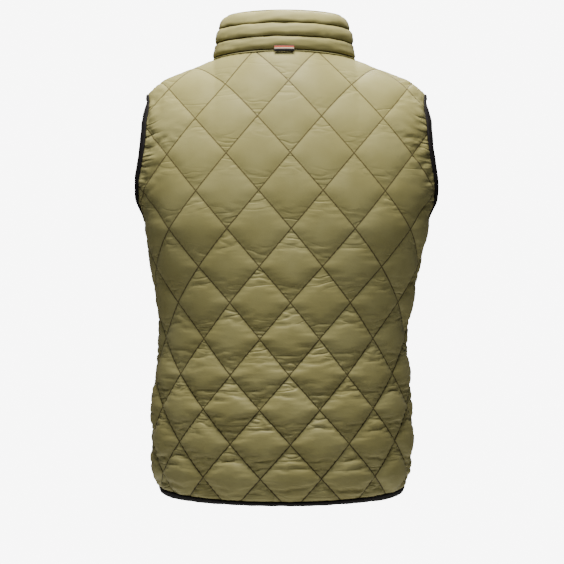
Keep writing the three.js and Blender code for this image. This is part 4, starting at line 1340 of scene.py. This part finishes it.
@dataclass
class Bindings:
    """The tapes round both armholes and along the hem."""

    form: WornForm
    pattern: Pattern
    tape: FoldedTape
    tuck_turn: float = 0.5
    tuck_reach: float = 190.0
    tip_turn: float = 0.8
    tip_settle: tuple[float, float] = (1.8, 1.0)
    tip_span: float = 48.0

    def stations(self, parts: list[tuple[Face, Array]], closed: bool) -> tuple[Array, Array, Array]:
        """Stations along flat edges: the place, the way out of the cloth square to the edge, and the way
        out of its surface.

        Args:
            parts: Faces with their flat points, in the order they are sewn.
            closed: Whether the edge runs round.

        Returns:
            Places, ways across and ways out.
        """
        at = np.concatenate([self.form.place(face, *flat.T) for face, flat in parts])
        out = np.concatenate([self.form.outward(face, *flat.T) for face, flat in parts])
        if closed:
            along = np.roll(at, -1, 0) - np.roll(at, 1, 0)
        else:
            along = np.gradient(at, axis=0)
        along = unit(along)
        across = unit(np.cross(along, out))
        return at, across, unit(np.cross(along, across))

    @staticmethod
    def turned_in(across: Array, out: Array, turn: Array) -> tuple[Array, Array]:
        """Stations turned about their places, so that the way across leans inwards by an angle.

        Args:
            across: Ways across.
            out: Ways out.
            turn: The angle at each station.

        Returns:
            Ways across and ways out.
        """
        cosine, sine = np.cos(turn)[:, None], np.sin(turn)[:, None]
        return across * cosine - out * sine, out * cosine + across * sine

    def armhole(self, side: float, cloth: bpy.types.Material) -> bpy.types.Object:
        """The armhole's tape, down its front edge and up its back edge. Side is 1 at the wearer's left."""
        down = self.pattern.armhole(Face.FRONT)[::-1] * (side, 1)
        up = np.concatenate([self.pattern.side_seam(Face.BACK)[-1:], self.pattern.armhole(Face.BACK)[:-1]])
        at, across, out = self.stations([(Face.FRONT, down), (Face.BACK, up * (-side, 1))], True)
        at, across, out = (even_loop(part) for part in (at, across, out))
        middle = at.mean(0)
        across *= np.sign(((middle - at) * across).sum(-1, keepdims=True))
        out *= np.sign(out[:, :1] * side)
        at, across, out = loop_mean(at, 2), unit(loop_mean(across, 10)), unit(loop_mean(out, 10))
        share = np.clip((at[:, 2] - at[:, 2].max() + self.tip_span) / self.tip_span, 0, 1) ** 2
        turn = self.tip_turn * share
        settle = np.sin(turn)[:, None]
        at = at - (across * self.tip_settle[0] + out * self.tip_settle[1]) * settle
        across, out = self.turned_in(across, out, turn)
        name = "left" if side > 0 else "right"
        made = self.tape.sweep("armhole_tape_" + name, at, across, out, True, cloth, 21 + int(side))
        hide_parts("armhole_binding_" + name)
        return made

    def hem(self, cloth: bpy.types.Material) -> bpy.types.Object:
        """The hem's tape, from the zip round the back to the zip, turning under at the centre back."""
        pattern = self.pattern
        front, back = pattern.side_seam(Face.FRONT)[0, 0], pattern.side_seam(Face.BACK)[0, 0]
        parts = [(Face.FRONT, pattern.hem(Face.FRONT, -pattern.zip_gap, -front)[:-1]),
                 (Face.BACK, pattern.hem(Face.BACK, back, -back, 320)),
                 (Face.FRONT, pattern.hem(Face.FRONT, front, pattern.zip_gap)[1:])]
        at, across, out = self.stations(parts, False)
        across *= -np.sign(across[:, 2:])
        out *= np.sign((out * at * (1, 1, 0)).sum(-1, keepdims=True))
        p = np.concatenate([flat[:, 0] for _, flat in parts])
        on_back = np.concatenate([np.full(len(flat), face is Face.BACK) for face, flat in parts])
        share = np.maximum(0, 1 - np.abs(p) / self.tuck_reach)
        turn = np.where(on_back, self.tuck_turn * np.sin(share * np.pi / 2), 0)
        inner = at - out * self.tape.within
        across, out = self.turned_in(across, out, turn)
        at = inner + out * self.tape.within
        made = self.tape.sweep("hem_tape", at, across, out, False, cloth, 25)
        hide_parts("hem_binding")
        return made


def even_loop(values: Array, count: int = 360) -> Array:
    """A closed row of values taken at even steps of its number, by straight lines."""
    size = len(values)
    at = np.linspace(0, size, count, endpoint=False)
    i = at.astype(int)
    t = (at - i)[:, None]
    return values[i] * (1 - t) + values[(i + 1) % size] * t


def loop_mean(values: Array, reach: int) -> Array:
    """A closed row of values, each the mean of its neighbours within a reach on both sides."""
    return sum(np.roll(values, k, 0) for k in range(-reach, reach + 1)) / (2 * reach + 1)


# The zip


@dataclass
class FrontZip:
    """The front zip: a woven tape on each side and moulded teeth that mesh between them."""

    form: WornForm
    pattern: Pattern
    collar: StandCollar
    chain: float = 2.9
    clear: float = 0.4
    tape_end: float = 17.0
    tape: float = 1.0
    level: float = -4.5
    chain_top: float = -1.6
    pitch: float = 3.2
    hem_drop: float = 8.0
    turn: float = 2.0
    tape_top: float = 0.97
    slider_height: float = 0.85

    def line(self, across: Array, out: Array, top: float, steps: int) -> Array:
        """Rows of points up the zip's line, each at given distances across and out of the cloth.

        Args:
            across: Distances to the wearer's left, of shape (around,).
            out: Distances out of the stitched level.
            top: The height share of the collar where it ends.
            steps: Rows on the body; the collar has a fifth as many.

        Returns:
            Points of shape (rows, around, 3).
        """
        bottom = float(self.form.lower_q(self.pattern.hem_middle[Face.FRONT])) - self.hem_drop
        seam = self.pattern.neck(Face.FRONT)[-1, 1]
        q = np.linspace(bottom, seam - self.turn, steps)[:, None] + 0 * across[None]
        p = across[None] + 0 * q
        body = self.form.place(Face.FRONT, p, q) + self.form.outward(Face.FRONT, p, q) * out[None, :, None]
        v = np.linspace(self.turn / self.collar.rise_front, top, steps // 5)[:, None] + 0 * across[None]
        angle = np.pi + np.arcsin(across[None] / self.collar.ring["half"](v))
        neck = self.collar.middle(angle, v) + self.collar.outward(angle, v) * out[None, :, None]
        return np.concatenate([body, neck])

    def tape_side(self, side: float, cloth: bpy.types.Material) -> bpy.types.Object:
        """One tape: a thin strip with a cord at its inner edge."""
        edge = side * (self.chain + self.clear)
        columns = np.array([edge, edge + side * 0.5, edge + side * 1.4, edge + side * 2.0,
                            side * 10.0, side * self.tape_end])
        bead = np.array([0.35, 0.5, 0.35, 0.0, 0.0, 0.0])
        across = np.concatenate([columns, columns[::-1]])
        out = np.concatenate([self.level - self.tape + 0 * bead, (self.level + bead)[::-1]])
        rows = self.line(across, out, self.tape_top, 180)
        run = np.concatenate([[0], np.linalg.norm(np.diff(rows[:, 0], axis=0), axis=1).cumsum()])
        flat = np.stack([run[:, None] + 0 * across, across[None] + 0 * run[:, None]], -1).reshape(-1, 2)
        name = "left" if side > 0 else "right"
        made = swept_tube("woven_zip_tape_" + name, rows, {"flat": flat * MM})
        made.data.materials.append(cloth)
        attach(made, "vest")
        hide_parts("zip_tape_" + name)
        return made

    def teeth(self, plastic: bpy.types.Material) -> bpy.types.Object:
        """All the teeth: short blocks with a narrow neck and a wide head, every other one from the left.

        The tooth's outline is a table of half lengths along the zip by distance across, at four levels with
        the top and bottom drawn in, carried to each tooth's place.

        Args:
            plastic: The finish.

        Returns:
            The piece.
        """
        centre = self.line(np.array([0.0]), np.array([0.0]), self.slider_height, 700)[:, 0]
        run = np.concatenate([[0], np.linalg.norm(np.diff(centre, axis=0), axis=1).cumsum()])
        marks = np.arange(2.0, run[-1] - 9.0, self.pitch / 2)
        at = np.stack([np.interp(marks, run, centre[:, k]) for k in range(3)], -1)
        up = unit(np.stack([np.interp(marks, run, np.gradient(centre[:, k], run)) for k in range(3)], -1))
        side = np.tile([1.0, 0, 0], (len(marks), 1))
        out = unit(np.cross(side, up))
        hand = np.where(np.arange(len(marks)) % 2 == 0, 1.0, -1.0)
        # distance from the tape's side towards the middle, half length along the zip
        plan = np.array([(2.95, 0.95), (1.0, 0.6), (0.15, 0.62), (-0.95, 0.95), (-1.35, 0.6)])
        ring = np.concatenate([plan, (plan * (1, -1))[::-1]])
        levels = np.array([(self.chain_top, 0.82), (self.chain_top - 0.45, 1.0),
                           (self.level - 0.4, 1.0), (self.level - 0.85, 0.82)])
        u = ring[None, :, 0] * (1 - (1 - levels[:, 1, None]) * 0.5)
        along = ring[None, :, 1] * levels[:, 1, None]
        w = levels[:, 0, None] + 0 * u
        size = u.size
        points = (at[:, None] + side[:, None] * (hand[:, None] * u.ravel()[None])[..., None]
                  + up[:, None] * (hand[:, None] * along.ravel()[None])[..., None]
                  + out[:, None] * w.ravel()[None, :, None])
        count = ring.shape[0]
        skin = grid_faces(len(levels), count, False, True)[:, ::-1]
        half = count // 2
        k = np.arange(half - 1)
        cap = np.stack([k, k + 1, count - 2 - k, count - 1 - k], -1)
        tooth = [skin, cap[:, ::-1], cap + (len(levels) - 1) * count]
        if tube_volume(points[0] - points[0].mean(0), tooth) < 0:
            tooth = [f[:, ::-1] for f in tooth]
        shifts = (np.arange(len(marks)) * size)[:, None, None]
        faces = [(f[None] + shifts).reshape(-1, 4) for f in tooth]
        made = new_piece("zip_teeth", points.reshape(-1, 3), faces)
        made.data.shade_flat()
        made.data.materials.append(plastic)
        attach(made, "vest")
        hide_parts("zip_chain")
        return made


# The tab


@dataclass
class NeckTab:
    """A short folded tape at the centre back that bridges the collar's seam."""

    form: WornForm
    pattern: Pattern
    collar: StandCollar
    half_width: float = 14.0
    reach: float = 6.0
    thick: float = 1.1
    lift: float = 0.6
    rest: float = 4.4

    def build(self, cloth: bpy.types.Material) -> bpy.types.Object:
        """Build the tab: a slab from the back panel up to the first channel, bowed out, with a round rim."""
        t = np.linspace(-1, 1, 29)
        angle = t * np.arcsin(self.half_width / self.form.neck_half)
        flat = self.pattern.neck_flat(Face.BACK, self.form.neck_half * np.abs(np.sin(angle)))
        p, q = np.sign(angle) * flat[:, 0], flat[:, 1] - self.reach
        low = self.form.place(Face.BACK, p, q) + self.form.outward(Face.BACK, p, q) * self.rest
        v = self.reach / self.collar.rise_back
        crown = self.collar.puff * float(self.collar.rounded(v * self.collar.channels)) + self.lift
        high = self.collar.middle(angle, v) + self.collar.outward(angle, v + 0 * angle) * crown
        out = self.collar.outward(angle, 0 * angle)
        share = np.array([0, 0.02, 0.1, 0.3, 0.5, 0.7, 0.9, 0.98, 1.0])
        bow = 0.5 * np.sin(share * np.pi)
        thin = np.array([0.25, 0.75, 1, 1, 1, 1, 1, 0.75, 0.25]) * self.thick / 2
        u = np.concatenate([share, share[::-1]])
        w = np.concatenate([bow + self.thick / 2 + thin, (bow + self.thick / 2 - thin)[::-1]])
        rows = low[:, None] + (high - low)[:, None] * u[None, :, None] + out[:, None] * w[None, :, None]
        height = np.linalg.norm(high - low, axis=1).mean()
        maps = np.stack([t[:, None] * self.half_width + 0 * u, u[None] * height + 0 * t[:, None]], -1)
        made = swept_tube("striped_tab", rows, {"flat": maps.reshape(-1, 2) * MM})
        made.data.materials.append(cloth)
        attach(made, "vest")
        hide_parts("neck_tab")
        return made


# The studio


@dataclass
class Studio:
    """The camera at the photograph's place, a pale floor, a soft light overhead and an even pale surround."""

    eye: tuple[float, float, float] = (0.0022, 2.8, -0.338)
    lens: float = 120.07
    floor_z: float = -1.05
    fill: float = 0.075
    backdrop: float = 8.0

    def camera(self) -> None:
        """Place the camera level, looking along -Y at the back."""
        data = bpy.data.cameras.new("camera")
        data.lens = self.lens
        data.sensor_width = 36.0
        made = bpy.data.objects.new("camera", data)
        made.location = self.eye
        made.rotation_euler = (np.pi / 2, 0, np.pi)
        bpy.context.scene.collection.objects.link(made)
        bpy.context.scene.camera = made

    def lamp(self, name: str, place: tuple[float, float, float], aim: tuple[float, float, float], size: float,
             power: float, colour: tuple[float, float, float] = (1.0, 1.0, 1.0)) -> None:
        """Add a square soft light.

        Args:
            name: Its name.
            place: Where it hangs, in metres.
            aim: What it faces.
            size: Its side.
            power: Watts.
            colour: Its light's colour.
        """
        data = bpy.data.lights.new(name, "AREA")
        data.color = colour
        data.shape = "SQUARE"
        data.size = size
        data.energy = power
        made = bpy.data.objects.new(name, data)
        made.location = place
        made.rotation_euler = (Vector(aim) - Vector(place)).to_track_quat("-Z", "Y").to_euler()
        bpy.context.scene.collection.objects.link(made)

    def build(self) -> None:
        """Build the floor, the surround and the lamps."""
        turn = np.linspace(0, 2 * np.pi, 97)[:-1, None]
        radius = np.array([0.0001, 0.4, 0.8, 1.1])[None, :]
        level = 0 * turn + 0 * radius + self.floor_z
        rows = np.stack([radius * np.cos(turn), radius * np.sin(turn), level], -1)
        floor = new_piece("studio_floor", rows.reshape(-1, 3) / MM, [grid_faces(96, 4, True)[:, ::-1]])
        floor.data.materials.append(StudioPaint().material())
        self.surround_light()
        self.lamp("overhead", (0.06, 0.62, 0.85), (0.0, 0.1, -0.35), 0.6, 13.7)
        self.lamp("shoulder", (0.05, 0.3, 0.95), (0.0, 0.05, -0.1), 0.5, 25.5, (1.0, 0.93, 0.8))
        self.lamp("overhead_front", (-0.2, -1.1, 1.8), (0.0, 0.0, -0.3), 1.0, 55.0)

    def surround_light(self) -> None:
        """The even surround: a pale background to look at, and a dim fill that falls on the pieces."""
        world = bpy.data.worlds.new("surround")
        world.use_nodes = True
        tree = world.node_tree
        shade = tree.nodes["Background"]
        shade.inputs[0].default_value = (1.0, 1.0, 1.0, 1.0)
        seen = tree.nodes.new("ShaderNodeLightPath")
        level = tree.nodes.new("ShaderNodeMapRange")
        level.inputs["To Min"].default_value = self.fill
        level.inputs["To Max"].default_value = self.backdrop
        tree.links.new(seen.outputs["Is Camera Ray"], level.inputs["Value"])
        tree.links.new(level.outputs[0], shade.inputs[1])
        bpy.context.scene.world = world


def main() -> None:
    """Build the studio and every piece in order."""
    logging.basicConfig(level=logging.INFO, format="%(message)s")
    studio = Studio()
    studio.camera()
    studio.build()
    form = WornForm()
    pattern = Pattern(form)
    log.info("worn form and pattern ready")
    nylon = QuiltedNylon().material()
    lining = LiningCloth().material()
    binding_tape = RibbedTape().material()
    collar_maker = StandCollar(form, pattern)
    collar = collar_maker.build(nylon, lining)
    log.info("collar: %d faces", len(collar.data.polygons))
    quilting = Quilting()
    centred = Quilting(start_across=0.0, lean=0.0)
    front = pattern.outline(Face.FRONT)
    tops = {face: float(pattern.armhole(face)[-1, 1]) for face in Face}
    panels = [
        QuiltedPanel("quilted_back", "back_panel", Face.BACK, pattern.outline(Face.BACK), quilting, form,
                     tops[Face.BACK], 31),
        QuiltedPanel("quilted_front_left", "front_left", Face.FRONT, front, centred, form,
                     tops[Face.FRONT], 32),
        QuiltedPanel("quilted_front_right", "front_right", Face.FRONT, (front * (-1, 1))[::-1], centred, form,
                     tops[Face.FRONT], 33),
    ]
    for panel in panels:
        made = panel.build(nylon, lining)
        panel.declare(made, collar)
        log.info("%s: %d faces", panel.name, len(made.data.polygons))
    bindings = Bindings(form, pattern, FoldedTape())
    for side in (1.0, -1.0):
        bindings.armhole(side, binding_tape)
    bindings.hem(binding_tape)
    log.info("bindings done")
    NeckTab(form, pattern, collar_maker).build(StripedTab().material())
    zipper = FrontZip(form, pattern, collar_maker)
    zip_cloth = RibbedTape("zip tape", ribs=1300.0).material()
    for side in (1.0, -1.0):
        zipper.tape_side(side, zip_cloth)
    teeth = zipper.teeth(MouldedTeeth().material())
    log.info("teeth: %d faces", len(teeth.data.polygons))
    metal = GunMetal().material()
    for node in ("zip_slider", "zip_pull"):
        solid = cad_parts[node]
        solid.data.materials.clear()
        solid.data.materials.append(metal)
    log.info("all pieces done")


if __name__ == "__main__":
    main()
